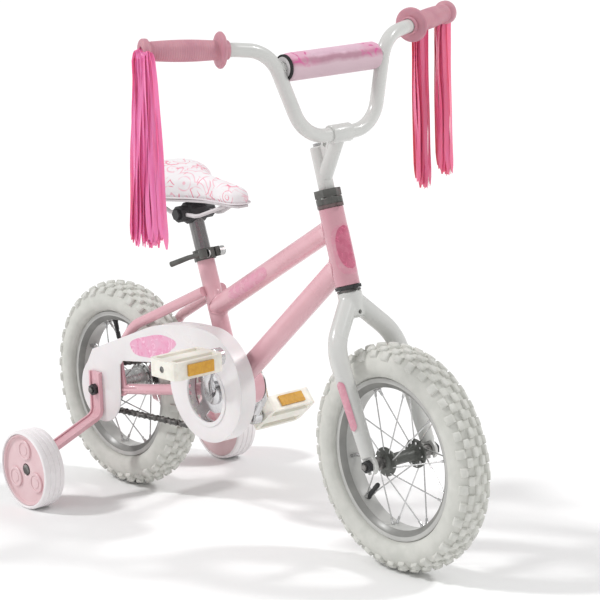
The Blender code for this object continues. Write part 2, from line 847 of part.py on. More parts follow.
# Handlebar, stem, pad, grips and streamers, in the steering frame
bar_elbow = Vector((bar_reach + bar_lean - bar_elbow_back, bar_elbow_half,
                    bar_shoulder_rise + bar_elbow_lift))
bar_end_run = bar_half_width - bar_elbow_half
bar_end = bar_elbow + Vector((-math.tan(bar_back_sweep) * bar_end_run, bar_end_run,
                              math.tan(bar_up_sweep) * bar_end_run))


def bar_path():
    """Right end to left end of the bar's centre line."""
    half = [Vector((bar_reach, bar_bottom_half, bar_rise)),
            Vector((bar_reach + bar_lean, bar_shoulder_half, bar_shoulder_rise)), bar_elbow, bar_end]
    mirrored = [Vector((p.x, -p.y, p.z)) for p in reversed(half)]
    bends = [bar_bend_radius, bar_bend_radius, bar_bend_radius]
    return rounded_path(mirrored + half, bends + bends, 2)


def crossbar_half():
    share = (crossbar_rise - bar_rise) / (bar_shoulder_rise - bar_rise)
    return bar_bottom_half + (bar_shoulder_half - bar_bottom_half) * share


crossbar_reach = bar_reach + bar_lean * (crossbar_rise - bar_rise) / (bar_shoulder_rise - bar_rise)


def make_handlebar(looks, parent):
    """Bent bar with its welded cross bar and the quill stem that carries it."""
    bar = sweep("handlebar", bar_path(), (bar_radius, bar_radius), bar_sides)
    union(bar, rod("cross", crossbar_radius, -crossbar_half(), crossbar_half(), bar_sides, "Y",
                   crossbar_reach, crossbar_rise))
    cradle = rod("cradle", stem_cradle_radius, -stem_cradle_half, stem_cradle_half, 12, "Y", bar_reach,
                 bar_rise)
    quill_low = headset_top_height - quill_depth
    quill = rod("quill", quill_radius, quill_low, quill_top, 12, "Z")
    foot = Vector((0, 0, stem_arm_base))
    head = Vector((bar_reach, 0, bar_rise))
    arm = sweep("arm", [foot, head], (quill_radius * 0.95, stem_arm_radius), 10, Vector((0, 1, 0)))
    web_top = quill_top - 0.0040
    outline = [(0, stem_arm_base), (bar_reach, bar_rise), (bar_reach - 0.0040, bar_rise + 0.0060),
               (0, web_top)]
    hole = circle(stem_web_hole_radius, 6, bar_reach * 0.40, (bar_rise + web_top) / 2 - stem_web_hole_drop)
    web = plate("web", outline, [hole], -stem_web_thickness / 2, stem_web_thickness / 2)
    finish(union(bar, cradle, arm, web, quill), looks["white_paint"], parent)
    bolt_low = quill_top + fit
    bolt = plate("stem_bolt", circle(quill_bolt_radius, 12), [circle(quill_bolt_radius * 0.5, 6)],
                 bolt_low, bolt_low + quill_bolt_height, "Z")
    finish(bolt, looks["dark_steel"], parent)


def bar_clearance_cutter():
    return sweep("cutter", bar_path(), (bar_radius + 2 * fit, bar_radius + 2 * fit), bar_sides)


def make_pad(looks, parent):
    place = Matrix.Translation((crossbar_reach, 0, crossbar_rise))
    foam_radius = pad_radius - pad_cover_thickness - fit
    foam_half = pad_half_length + pad_foam_overhang
    core = crossbar_radius + fit
    foam = turned("pad_foam", [(core, -foam_half), (foam_radius, -foam_half), (foam_radius, foam_half),
                               (core, foam_half)], 14)
    cover_bore = pad_radius - pad_cover_thickness
    cover = turned("pad_cover", [(cover_bore, -pad_half_length), (pad_radius, -pad_half_length),
                                 (pad_radius, pad_half_length), (cover_bore, pad_half_length)], 14)
    finish(subtract(moved(foam, place), bar_clearance_cutter()), looks["foam"], parent)
    finish(subtract(moved(cover, place), bar_clearance_cutter()), looks["pad_fabric"], parent)


def grip_frame(side):
    """Z runs out along the bar's end from the start of the grip."""
    end = Vector((bar_end.x, side * bar_end.y, bar_end.z))
    elbow = Vector((bar_elbow.x, side * bar_elbow.y, bar_elbow.z))
    out = (end - elbow).normalized()
    turn = Vector((0, 0, 1)).rotation_difference(out).to_matrix().to_4x4()
    return Matrix.Translation(end + out * (fit - grip_length)) @ turn


def make_grip(name, side, looks, parent):
    bore = (bar_radius + fit) / math.cos(math.pi / bar_sides)
    body = bar_radius + grip_wall
    ring_end = grip_neck_length + grip_flange_thickness
    tail = grip_length + grip_end_thickness
    waist = body - 0.0015
    profile = [(bore, 0), (waist, 0), (waist, grip_neck_length), (grip_flange_radius, grip_neck_length),
               (grip_flange_radius, ring_end), (waist, ring_end), (body, grip_length * 0.55),
               (waist, grip_length - 0.0060),
               (grip_end_radius, grip_length - 0.0020), (grip_end_radius - 0.0010, tail),
               (streamer_mouth_radius, tail),
               (streamer_mouth_radius, grip_length), (bore, grip_length)]
    grip = turned(name, profile, bar_sides, axis="Z")
    finish(moved(grip, grip_frame(side)), looks["grip_rubber"], parent)


def make_streamer(name, side, strands, looks, parent):
    """Ribbon strands that leave the hole in the grip's end together and hang straight down."""
    place = grip_frame(side)
    mouth = place @ Vector((0, 0, grip_length + grip_end_thickness))
    out = (place.to_3x3() @ Vector((0, 0, 1))).normalized()
    down = steer_turn.to_3x3().inverted() @ Vector((0, 0, -1))
    ahead = down.cross(Vector((0, 1, 0))).normalized()
    plug_radius = streamer_mouth_radius - 2 * fit
    plug = sweep(name, [mouth - out * (grip_end_thickness - fit), mouth + out * streamer_knot_reach],
                 (plug_radius, plug_radius), 10)
    inward = Vector((0, -side, 0))
    for forward, inboard, length in strands:
        start = mouth - out * grip_end_thickness * 0.5
        knee = mouth + out * streamer_reach
        lower = knee + ahead * forward + inward * inboard / 2 + down * streamer_fall
        foot = lower + inward * inboard / 2 + down * (length - streamer_fall)
        path = rounded_path([start, knee, lower, foot], [streamer_knee_radius, streamer_fall], 2)
        hang = [lower.lerp(foot, share / streamer_rings) for share in range(2, streamer_rings)]
        points = path[:-1] + hang + [path[-1]]
        frames = frames_along(points, ahead)
        rings = []
        for i, (point, u, v) in enumerate(frames):
            open_out = min(1.0, i / 6)
            width = plug_radius * 0.8 + (streamer_width / 2 - plug_radius * 0.8) * open_out
            depth = plug_radius * 0.8 + (streamer_depth / 2 - plug_radius * 0.8) * open_out
            ring = []
            for corner in range(streamer_sides):
                turn = math.tau * corner / streamer_sides
                flute = 1.0 + 0.10 * open_out * math.cos(streamer_flutes * turn + 0.25 * i)
                ring.append(point + u * width * flute * math.cos(turn) + v * depth * flute * math.sin(turn))
            rings.append(ring)
        union(plug, loft("strand", rings))
    finish(plug, looks["streamer_film"], parent)


# Frame
def seat_point(height):
    return seat_frame @ Vector((0, 0, height))


def make_frame(looks, parent):
    """Welded tubes: everything the pink frame is made of, bored for what goes into it."""
    head = moved(rod("frame", head_tube_radius, head_tube_base, head_tube_top, headset_sides, "Z"),
                 steering_frame)
    top_head = steering_frame @ Vector((0, 0, head_tube_top - top_tube_head_offset))
    down_head = steering_frame @ Vector((0, 0, head_tube_base + down_tube_head_offset))
    top_seat = seat_point(top_tube_seat_height)
    side_way = Vector((0, 1, 0))
    inside = shell_radius * 0.4
    down_foot = bottom_bracket + Vector((0, 0, down_tube_shell_rise))
    down_start = down_foot + (down_head - down_foot).normalized() * inside
    tubes = [sweep("top_tube", [top_seat, top_head], (top_tube_radius, top_tube_radius), 12, side_way),
             sweep("down_tube", [down_start, down_head], (down_tube_radius, down_tube_radius), 12, side_way),
             sweep("seat_tube", [seat_point(inside), seat_point(seat_tube_length)],
                   (seat_tube_radius, seat_tube_radius), 14, side_way),
             rod("shell", shell_radius, -shell_half, shell_half, shell_sides, "Y", bottom_bracket.x,
                 bottom_bracket.z)]
    for side in (-1, 1):
        tubes += rear_end(side)
    bridge_rise = (bottom_bracket.z - rear_axle.z) * stay_bridge_place / bottom_bracket.x
    bridge_half = chain_stay_offset(stay_bridge_place)
    tubes.append(rod("bridge", stay_bridge_radius, -bridge_half, bridge_half, 8, "Y", stay_bridge_place,
                     rear_axle.z + bridge_rise))
    lug_place = seat_point(guard_lug_height)
    tubes.append(rod("guard_lug", guard_lug_radius, -guard_inner + fit, 0, 8, "Y", lug_place.x, lug_place.z))
    union(head, *tubes)
    head_cutter = rod("head_bore", head_bore, head_tube_base - weld, head_tube_top + weld, headset_sides, "Z")
    shell_cutter = rod("shell_bore", shell_bore, -shell_half - weld, shell_half + weld, shell_sides, "Y",
                       bottom_bracket.x, bottom_bracket.z)
    seat_low = seat_tube_length - seat_tube_bore_depth
    seat_cutter = rod("seat_bore", seat_tube_bore, seat_low, seat_tube_length + weld, 14, "Z")
    subtract(head, moved(head_cutter, steering_frame), shell_cutter, moved(seat_cutter, seat_frame))
    finish(head, looks["pink_paint"], parent)


def chain_stay_offset(place):
    """How far the chain stay's centre line lies from the middle at a place along X."""
    knee = bottom_bracket.x - chain_stay_shell_place
    stations = [(chain_stay_end_forward, stay_end_offset), (chain_stay_wheel_place, chain_stay_wheel_offset),
                (knee, chain_stay_bend_offset), (bottom_bracket.x, chain_stay_shell_offset)]
    for (xa, ya), (xb, yb) in zip(stations, stations[1:]):
        if place <= xb:
            return ya + (yb - ya) * (place - xa) / (xb - xa)
    return chain_stay_shell_offset


def chain_stay_point(place, side):
    share = (place - chain_stay_end_forward) / (bottom_bracket.x - chain_stay_end_forward)
    low = rear_axle.z + chain_stay_end_rise
    return Vector((place, side * chain_stay_offset(place), low + (bottom_bracket.z - low) * share))


def rear_end(side):
    """One side's chain stay, seat stay and slotted dropout plate."""
    across = Vector((0, 1, 0))
    knee = bottom_bracket.x - chain_stay_shell_place
    stay_corners = [chain_stay_point(x, side) for x in
                    (chain_stay_end_forward, chain_stay_wheel_place, knee, bottom_bracket.x)]
    chain_stay = sweep("chain_stay", rounded_path(stay_corners, [0.15, 0.15], 1),
                       (chain_stay_radius, chain_stay_radius), 8, across)
    top = seat_point(seat_stay_height) + Vector((0, side * seat_stay_seat_offset, 0))
    bend = rear_axle + Vector((seat_stay_bend_forward, side * seat_stay_bend_offset, seat_stay_bend_rise))
    end = rear_axle + Vector((seat_stay_end_forward, side * stay_end_offset, seat_stay_end_rise))
    seat_stay = sweep("seat_stay", rounded_path([end, bend, top], [0.05], 3),
                      (seat_stay_radius, seat_stay_radius), 8, across)
    low, high = sorted((side * rear_dropout_gap, side * rear_dropout_outer))
    lug = dropout_lug_radius
    corners = circle(rear_dropout_radius, 14, rear_axle.x, rear_axle.z)
    corners += circle(lug, 8, chain_stay_end_forward + lug, rear_axle.z + chain_stay_end_rise)
    corners += circle(lug, 8, end.x + lug * 0.5, end.z + lug * 0.5)
    slot_half = axle_radius + 2 * fit
    plate_item = plate("dropout", hull(corners), [], low, high)
    slot = [(rear_axle.x - 0.0300, rear_axle.z + slot_half), (rear_axle.x - 0.0300, rear_axle.z - slot_half)]
    slot += arc(slot_half, -math.pi / 2, math.pi / 2, 6, rear_axle.x, rear_axle.z)
    subtract(plate_item, plate("slot", slot, [], low - weld, high + weld))
    return [chain_stay, seat_stay, plate_item]


# Chain drive
def chain_pins():
    """Places of the chain's pins on its closed run, one pitch apart, with their wheels' phases."""
    big, small = pitch_radius(ring_teeth), pitch_radius(cog_teeth)
    lean = math.asin((big - small) / centre_distance)
    free = math.sqrt(centre_distance ** 2 - (big - small) ** 2) / chain_pitch
    top_turn = chain_slope + lean + math.pi / 2
    low_turn = chain_slope - lean - math.pi / 2
    top_start = rear_axle + Vector((math.cos(top_turn), 0, math.sin(top_turn))) * small
    top_end = bottom_bracket + Vector((math.cos(top_turn), 0, math.sin(top_turn))) * big
    low_start = bottom_bracket + Vector((math.cos(low_turn), 0, math.sin(low_turn))) * big
    low_end = rear_axle + Vector((math.cos(low_turn), 0, math.sin(low_turn))) * small
    on_ring = (top_turn - low_turn) / math.tau * ring_teeth
    pins = []
    for k in range(chain_links):
        place = float(k)
        if place < free:
            point = top_start.lerp(top_end, place / free)
        elif place < free + on_ring:
            turn = top_turn - (place - free) / ring_teeth * math.tau
            point = bottom_bracket + Vector((math.cos(turn), 0, math.sin(turn))) * big
        elif place < 2 * free + on_ring:
            point = low_start.lerp(low_end, (place - free - on_ring) / free)
        else:
            turn = low_turn - (place - 2 * free - on_ring) / cog_teeth * math.tau
            point = rear_axle + Vector((math.cos(turn), 0, math.sin(turn))) * small
        pins.append(Vector((point.x, 0, point.z)))
    ring_phase = top_turn + free / ring_teeth * math.tau
    cog_phase = low_turn + (2 * free + on_ring) / cog_teeth * math.tau
    return pins, ring_phase, cog_phase


def toothed_outline(teeth, phase, centre):
    """Gullets that hold the chain's rollers, with a blunt tooth between each two."""
    root = roller_radius + tooth_clearance
    corners = ((-root * 0.50, -root), (root * 0.50, -root), (chain_pitch / 2, tooth_rise))
    points = []
    for k in range(teeth):
        turn = phase + math.tau * k / teeth
        for along, out in corners:
            radius = pitch_radius(teeth) + out
            points.append((centre.x + radius * math.cos(turn) - along * math.sin(turn),
                           centre.z + radius * math.sin(turn) + along * math.cos(turn)))
    return points


def make_chain(pins, looks, parent):
    """Closed chain: inner and outer plates take turns down both sides, joined by a roller at each pin."""
    bm = bmesh.new()
    outer_place = chain_inner_half + chain_plate + chain_plate_gap
    half_height = chain_plate_height / 2
    share = roller_radius * 0.6 / chain_pitch
    inner_faces = []
    for side in (-1, 1):
        rings = []
        for k, start in enumerate(pins):
            along = pins[(k + 1) % chain_links] - start
            up = Vector((-along.z, 0, along.x)).normalized() * half_height
            near = chain_inner_half if k % 2 == 0 else outer_place
            for part in (share, 1 - share):
                middle = start + along * part - Vector((0, chain_line, 0))
                ring = []
                for rise, out in ((1, near), (1, near + chain_plate), (-1, near + chain_plate), (-1, near)):
                    ring.append(bm.verts.new(middle + up * rise + Vector((0, side * out, 0))))
                rings.append(ring)
        count = len(rings)
        rollers = []
        for i in range(count):
            row, following = rings[i], rings[(i + 1) % count]
            for j in range(3):
                bm.faces.new((row[j], row[j + 1], following[j + 1], following[j]))
            if i % 2:
                rollers.append((row, following))
            else:
                bm.faces.new((row[3], row[0], following[0], following[3]))
        inner_faces.append(rollers)
    for right, left in zip(*inner_faces):
        borders = [(row[0], following[0], following[3], row[3]) for row, following in (right, left)]
        for j in range(4):
            i = (j + 1) % 4
            bm.faces.new((borders[0][j], borders[0][i], borders[1][i], borders[1][j]))
    chain = as_object(bm, "chain")
    finish(chain, looks["dark_steel"], parent)


def ring_windows():
    """Kidney-shaped openings between the chainring's spokes."""
    low, high = crank_boss_radius + 0.0130, pitch_radius(ring_teeth) - 0.0130
    reach = math.pi / ring_window_count - 0.22
    windows = []
    for k in range(ring_window_count):
        middle = math.tau * (k + 0.5) / ring_window_count
        window = arc(high, middle - reach, middle + reach, 4)
        window += arc(low, middle + reach * 0.75, middle - reach * 0.75, 2)
        windows.append(window)
    return windows


def drive_faces():
    half = sprocket_thickness / 2
    return -chain_line - half, -chain_line + half


def make_chainring(ring_phase, looks, parent):
    origin = Vector((0, 0, 0))
    low, high = drive_faces()
    outline = toothed_outline(ring_teeth, ring_phase - crank_angle, origin)
    holes = [circle(crank_spindle_radius + 3 * fit, 12),
             circle(drive_pin_radius + 2 * fit, 8, drive_pin_offset)]
    ring = plate("chainring", outline, holes + ring_windows(), low, high)
    finish(ring, looks["chrome"], parent)


def make_sprocket(cog_phase, looks, parent):
    """Rear cog on its turned driver, outboard of the hub shell."""
    low, high = drive_faces()
    bore = axle_radius + bearing_clearance
    outline = toothed_outline(cog_teeth, cog_phase, Vector((0, 0, 0)))
    cog = plate("cog", outline, [circle(bore, 12)], low, high)
    driver_low = -chain_line - sprocket_thickness
    boss = turned("sprocket", [(bore, driver_low), (driver_radius, driver_low),
                               (driver_radius, -rear_hub_half - fit),
                               (bore, -rear_hub_half - fit)], 12)
    finish(union(boss, cog), looks["dark_steel"], parent)


def make_crank(looks, parent):
    """One-piece crank: right arm forward, left arm back, spindle, cones and eyes."""
    right = [Vector((crank_length, -crank_spread, 0)), Vector((crank_bow_reach, -crank_bow_offset, 0)),
             Vector((0, -crank_hip_offset, 0))]
    left = [Vector((-p.x, -p.y, 0)) for p in reversed(right)]
    bend = crank_bend_radius
    path = rounded_path(right + left, [bend, bend, bend, bend], 2)
    eye_tip = crank_eye_half * 0.92
    radii = [eye_tip, crank_arm_radius, crank_arm_radius, crank_arm_radius, crank_arm_radius, eye_tip]
    crank = sweep("crank", path, radii, 8)
    ring_low, ring_high = drive_faces()
    cup_end = shell_half + fit + bb_cup_flange + fit
    boss_low, boss_high = ring_low - fit - crank_boss_height, ring_low - fit
    cone_end = crank_hip_offset - crank_arm_radius + weld
    profile = [(0, boss_low), (crank_boss_radius, boss_low), (crank_boss_radius, boss_high),
               (crank_spindle_radius, boss_high), (crank_spindle_radius, ring_high + fit),
               (crank_cone_radius, ring_high + fit), (crank_cone_radius, -cup_end),
               (crank_spindle_radius, -cup_end),
               (crank_spindle_radius, cup_end), (crank_cone_radius, cup_end), (crank_cone_radius, cone_end),
               (0, cone_end)]
    spindle = turned("spindle", profile, 12, ring=False)
    arm_lean = (crank_bow_offset - crank_hip_offset) / crank_bow_reach
    pin_root = -crank_hip_offset - arm_lean * drive_pin_offset
    pin = rod("pin", drive_pin_radius, pin_root, ring_high, 8, "Y", drive_pin_offset)
    union(crank, spindle, pin)
    for side in (-1, 1):
        low, high = sorted((side * (crank_spread - crank_eye_half), side * (crank_spread + crank_eye_half)))
        place = -side * crank_length
        union(crank, rod("eye", crank_eye_radius, low, high, 12, "Y", place))
        subtract(crank, rod("thread", pedal_thread_radius + 2 * fit, low - weld * 4, high + weld * 4, 8,
                            "Y", place))
    finish(crank, looks["chrome"], parent)


def make_bb_cup(name, side, looks, parent):
    bore = crank_spindle_radius + bb_cup_clearance
    sleeve = shell_bore - fit
    face = shell_half + fit
    profile = [(bore, face + bb_cup_flange), (shell_radius - weld, face + bb_cup_flange),
               (shell_radius - weld, face),
               (sleeve, face), (sleeve, shell_half - bb_cup_depth), (bore, shell_half - bb_cup_depth)]
    cup = turned(name, [(r, side * y) for r, y in profile], shell_sides)
    place = Matrix.Translation((bottom_bracket.x, 0, bottom_bracket.z))
    finish(moved(cup, place), looks["dark_steel"], parent)


# Pedals: Y runs along the pedal's axle, from the pivot in the crank's eye
def make_pedal(side, looks, crank_parent, pedal_parent):
    label = "left" if side > 0 else "right"
    eye_end = crank_eye_half + fit
    body_start = eye_end + pedal_flange_length + fit
    low, high = sorted((side * body_start, side * (body_start + pedal_width)))
    half = pedal_length / 2
    outline = []
    for quarter, (sx, sy) in enumerate(((1, 1), (-1, 1), (-1, -1), (1, -1))):
        turn = quarter * math.pi / 2
        middle = (low + high) / 2
        outline += arc(pedal_corner, turn, turn + math.pi / 2, 3, sx * (half - pedal_corner),
                       middle + sy * (pedal_width / 2 - pedal_corner))
    windows = []
    for sx in (-1, 1):
        near, far = sx * pedal_barrel_half, sx * (half - pedal_end_wall)
        xa, xb = sorted((near, far))
        ya, yb = low + pedal_side_wall, high - pedal_side_wall
        windows.append([(xa, ya), (xb, ya), (xb, yb), (xa, yb)])
    thick = pedal_thickness / 2
    body = plate("pedal_" + label, outline, windows, -thick, thick, "Z")
    bore = rod("bore", pedal_axle_radius + bearing_clearance, low - weld, high + weld, 12)
    finish(subtract(body, bore), looks["pedal_plastic"], pedal_parent)
    flange_end = eye_end + pedal_flange_length
    profile = [(0, -crank_eye_half), (pedal_thread_radius, -crank_eye_half), (pedal_thread_radius, eye_end),
               (pedal_flange_radius, eye_end), (pedal_flange_radius, flange_end),
               (pedal_axle_radius, flange_end),
               (pedal_axle_radius, body_start + pedal_width - fit), (0, body_start + pedal_width - fit)]
    axle = turned("pedal_axle_" + label, [(r, side * y) for r, y in profile], 10, ring=False)
    finish(axle, looks["black_plastic"], crank_parent)
    for sx in (-1, 1):
        name = f"reflector_{label}_{'front' if sx > 0 else 'back'}"
        xa, xb = sorted((sx * (half + fit), sx * (half + fit + reflector_depth)))
        middle = (low + high) / 2
        xs, ys = (xa, xb), (middle - reflector_width / 2, middle + reflector_width / 2)
        outline = [(xs[0], ys[0]), (xs[1], ys[0]), (xs[1], ys[1]), (xs[0], ys[1])]
        face = plate(name, outline, [], -reflector_height / 2, reflector_height / 2, "Z")
        finish(face, looks["reflector_amber"], pedal_parent)


# Chain guard
def guard_centre():
    return bottom_bracket.x, bottom_bracket.z + guard_disc_rise


def guard_outline():
    """Front disc, rear lobe and the arm between them, anticlockwise from the disc's open side."""
    disc_x, disc_z = guard_centre()
    lobe_x, lobe_z = rear_axle.x + guard_lobe_forward, rear_axle.z
    arm_x = lobe_x + guard_lobe_radius
    arm_z = rear_axle.z + guard_arm_rise
    slope = math.tan(guard_arm_slope)
    notch_turn = math.pi - math.asin((arm_z + slope * (disc_x - guard_disc_radius - arm_x) - disc_z)
                                     / guard_disc_radius)
    disc = arc(guard_disc_radius, notch_turn, 2.5 * math.pi, 20, disc_x, disc_z)
    lobe_top_turn = math.pi / 2 + guard_top_slope
    lobe_top = (lobe_x + guard_lobe_radius * math.cos(lobe_top_turn),
                lobe_z + guard_lobe_radius * math.sin(lobe_top_turn) + guard_top_margin)
    top_slope = math.tan(guard_top_slope)
    peak_z = disc_z + guard_disc_radius + 0.0015
    knee_x = lobe_top[0] + (peak_z - lobe_top[1]) / top_slope
    start = Vector((disc_x, disc_z + guard_disc_radius))
    control = Vector((knee_x, peak_z))
    stop = Vector((guard_skirt_end, lobe_top[1] + (guard_skirt_end - lobe_top[0]) * top_slope))
    top = []
    for k in range(1, 7):
        share = k / 6
        point = start.lerp(control, share).lerp(control.lerp(stop, share), share)
        top.append((point.x, point.y))
    lobe = arc(guard_lobe_radius, lobe_top_turn + 0.35, math.tau, 12, lobe_x, lobe_z)
    corner = (arm_x + 0.0020, arm_z - 0.0060)
    lower = [corner, (arm_x + 0.0100, arm_z + slope * 0.0100)]
    return disc, top, [lobe_top] + lobe + lower


def make_guard(looks, parent):
    """Moulded guard: a face, a ring round the crank's opening and a skirt along front and top."""
    disc, top, rest = guard_outline()
    centre = (bottom_bracket.x, bottom_bracket.z)
    hole = circle(guard_hole_radius, 20, *centre)
    axle_hole = circle(axle_washer_radius + 2 * fit, 10, rear_axle.x, rear_axle.z)
    guard = plate("chain_guard", disc + top + rest, [hole, axle_hole], -guard_outer, -guard_inner)
    ring = plate("ring", circle(guard_hole_radius + guard_ring_width, 20, *centre),
                 [circle(guard_hole_radius + fit, 20, *centre)], -guard_outer - guard_ring_height,
                 -guard_outer + weld)
    disc_x, disc_z = guard_centre()
    under = [p for p in disc if p[0] > disc_x - guard_disc_radius * 0.27 or p[1] > disc_z + 0.05]
    edge = inset_outline(under + top, 0.0004)
    inner = inset_outline(under + top, 0.0004 + guard_skirt_wall)
    skirt = plate("skirt", edge + inner[::-1], [], -guard_inner - weld, -guard_inner + guard_skirt_depth)
    finish(union(guard, ring, skirt), looks["guard_plastic"], parent)
    washer = plate("axle_washer", circle(axle_washer_radius, 10, rear_axle.x, rear_axle.z),
                   [circle(axle_radius + 2 * fit, 8, rear_axle.x, rear_axle.z)],
                   -guard_outer, -rear_dropout_outer - fit)
    finish(washer, looks["dark_steel"], parent)


def make_brake_arm(looks, parent):
    """Coaster brake arm from the hub's left end to a strap round the chain stay."""
    low = brake_arm_offset - brake_arm_thickness / 2
    high = brake_arm_offset + brake_arm_thickness / 2
    strap_centre = chain_stay_point(brake_arm_length, 1)
    before = chain_stay_point(brake_arm_length - 0.01, 1)
    reach = chain_stay_radius + fit + brake_strap_thickness
    tip = (strap_centre.x, strap_centre.z - reach - brake_arm_width / 2 - brake_arm_drop)
    disc = circle(brake_arm_disc_radius, 12, rear_axle.x, rear_axle.z)
    outline = hull(disc + circle(brake_arm_width / 2, 8, *tip))
    hole = circle(axle_radius + 2 * fit, 10, rear_axle.x, rear_axle.z)
    arm = plate("brake_arm", outline, [hole], low, high)
    half = brake_strap_width / 2
    bore = (chain_stay_radius + fit) / math.cos(math.pi / 10)
    strap = turned("strap", [(bore, -half), (reach + 2 * fit, -half), (reach + 2 * fit, half),
                             (bore, half)], 10, axis="Z")
    along = (strap_centre - before).normalized()
    turn = Vector((0, 0, 1)).rotation_difference(along).to_matrix().to_4x4()
    moved(strap, Matrix.Translation(strap_centre) @ turn)
    tab_top = strap_centre.z - chain_stay_radius - fit * 2
    tab = plate("tab", [(tip[0] - half, tip[1]), (tip[0] + half, tip[1]), (tip[0] + half, tab_top),
                        (tip[0] - half, tab_top)], [], low, high)
    finish(union(arm, strap, tab), looks["steel"], parent)


# Saddle and seat post, along the seat tube's axis
def clamp_centre():
    return seat_point(seat_tube_length + post_exposed)


def saddle_shape(share):
    """Half width, base height and crown height at a share of the way from tail to nose."""
    flare = min(1.0, max(0.0, (share - 0.16) / 0.50))
    flare = flare * flare * (3 - 2 * flare)
    half = saddle_tail_half + (saddle_nose_half - saddle_tail_half) * flare
    tall = saddle_tail_height + (saddle_nose_height - saddle_tail_height) * min(1.0, share * 1.25)
    dip = saddle_nose_dip * share ** 2
    tail_round = math.sqrt(max(0.0, 1 - max(0.0, 1 - share / 0.16) ** 2))
    nose_round = math.sqrt(max(0.0, 1 - max(0.0, (share - 0.90) / 0.10) ** 2))
    end_round = min(tail_round, nose_round)
    return half * (0.35 + 0.65 * end_round), tall * (0.62 + 0.38 * end_round), dip


def saddle_base():
    return clamp_centre().z + rail_drop + saddle_pan_thickness + fit


def make_saddle(looks, parent):
    """Padded cushion with a crown, drawn-in sides and a tail wider than its nose."""
    centre = clamp_centre()
    length = saddle_nose_reach + saddle_tail_reach
    rings = []
    stations = 15
    for k in range(stations + 1):
        share = 0.5 - 0.5 * math.cos(math.pi * k / stations)
        half, tall, dip = saddle_shape(share)
        x = centre.x - saddle_tail_reach + share * length
        base = saddle_base()
        belly = base + tall * 0.36
        ring = [Vector((x, half * (1 - saddle_draw_in), base))]
        for step in range(11):
            turn = math.pi * step / 10
            side, rise = math.cos(turn), math.sin(turn)
            wide = math.copysign(abs(side) ** 0.80, side)
            ring.append(Vector((x, half * wide, belly + (tall - dip - tall * 0.36) * rise ** 0.80)))
        ring.append(Vector((x, -half * (1 - saddle_draw_in), base)))
        rings.append(ring)
    finish(loft("saddle_cushion", rings), looks["saddle_vinyl"], parent, math.radians(60))


def make_saddle_pan(looks, parent):
    """Moulded pan under the cushion with the two wire rails that the clamp holds."""
    centre = clamp_centre()
    length = saddle_nose_reach + saddle_tail_reach
    edge = []
    for k in range(13):
        share = 0.03 + 0.94 * (0.5 - 0.5 * math.cos(math.pi * k / 12))
        half, tall, dip = saddle_shape(share)
        edge.append((centre.x - saddle_tail_reach + share * length,
                     half * (1 - saddle_draw_in) - saddle_pan_inset))
    outline = edge + [(x, -y) for x, y in reversed(edge)]
    pan_top = saddle_base() - fit
    pan = plate("saddle_pan", outline, [], pan_top - saddle_pan_thickness, pan_top, "Z")
    for side in (-1, 1):
        y = side * rail_spacing
        rise = pan_top - rail_radius - fit
        nose_y = side * min(rail_spacing, saddle_nose_half * 0.45)
        corners = [Vector((centre.x + rail_front_reach + 0.0120, nose_y, rise)),
                   Vector((centre.x + rail_front_reach, nose_y, rise - 0.0040)),
                   Vector((centre.x + rail_flat_half, y, centre.z)),
                   Vector((centre.x - rail_flat_half, y, centre.z)),
                   Vector((centre.x - rail_rear_reach + 0.0080, y, rise - 0.0020)),
                   Vector((centre.x - rail_rear_reach, y, rise))]
        path = rounded_path(corners, [0.004, 0.02, 0.02, 0.004], 1)
        union(pan, sweep("rail", path, (rail_radius, rail_radius), 6))
    finish(pan, looks["black_plastic"], parent)


def make_clamp_and_post(looks, parent):
    centre = clamp_centre()
    profile = [(0, -clamp_half), (clamp_end_radius, -clamp_half), (clamp_end_radius, -clamp_half * 0.55),
               (clamp_radius, -clamp_half * 0.45), (clamp_radius, clamp_half * 0.45),
               (clamp_end_radius, clamp_half * 0.55), (clamp_end_radius, clamp_half), (0, clamp_half)]
    clamp = turned("saddle_clamp", profile, 12, ring=False)
    moved(clamp, Matrix.Translation(centre))
    for side in (-1, 1):
        nut_low, nut_high = sorted((side * (clamp_half - weld), side * (clamp_half + clamp_nut_height)))
        union(clamp, plate("nut", circle(clamp_end_radius * 0.7, 6, centre.x, centre.z), [], nut_low,
                           nut_high))
        rail_bore = plate("rail_bore", circle(rail_radius + fit * 2, 6), [], -clamp_radius * 1.2,
                          clamp_radius * 1.2, "Z")
        lay = Matrix.Rotation(math.pi / 2, 4, "Y")
        lay.translation = (centre.x, side * rail_spacing, centre.z)
        subtract(clamp, moved(rail_bore, lay))
    post_top = seat_tube_length + post_exposed + clamp_radius * 0.35
    post_bore = rod("post_bore", post_radius + fit, post_top - 2 * clamp_radius, post_top + fit, 14, "Z")
    subtract(clamp, moved(post_bore, seat_frame))
    finish(clamp, looks["black_plastic"], parent)
    post = rod("seatpost", post_radius, seat_tube_length - post_insertion, post_top, 14, "Z")
    finish(moved(post, seat_frame), looks["chrome"], parent)


def collar_height_place():
    return seat_tube_length - collar_height / 2 + weld / 2


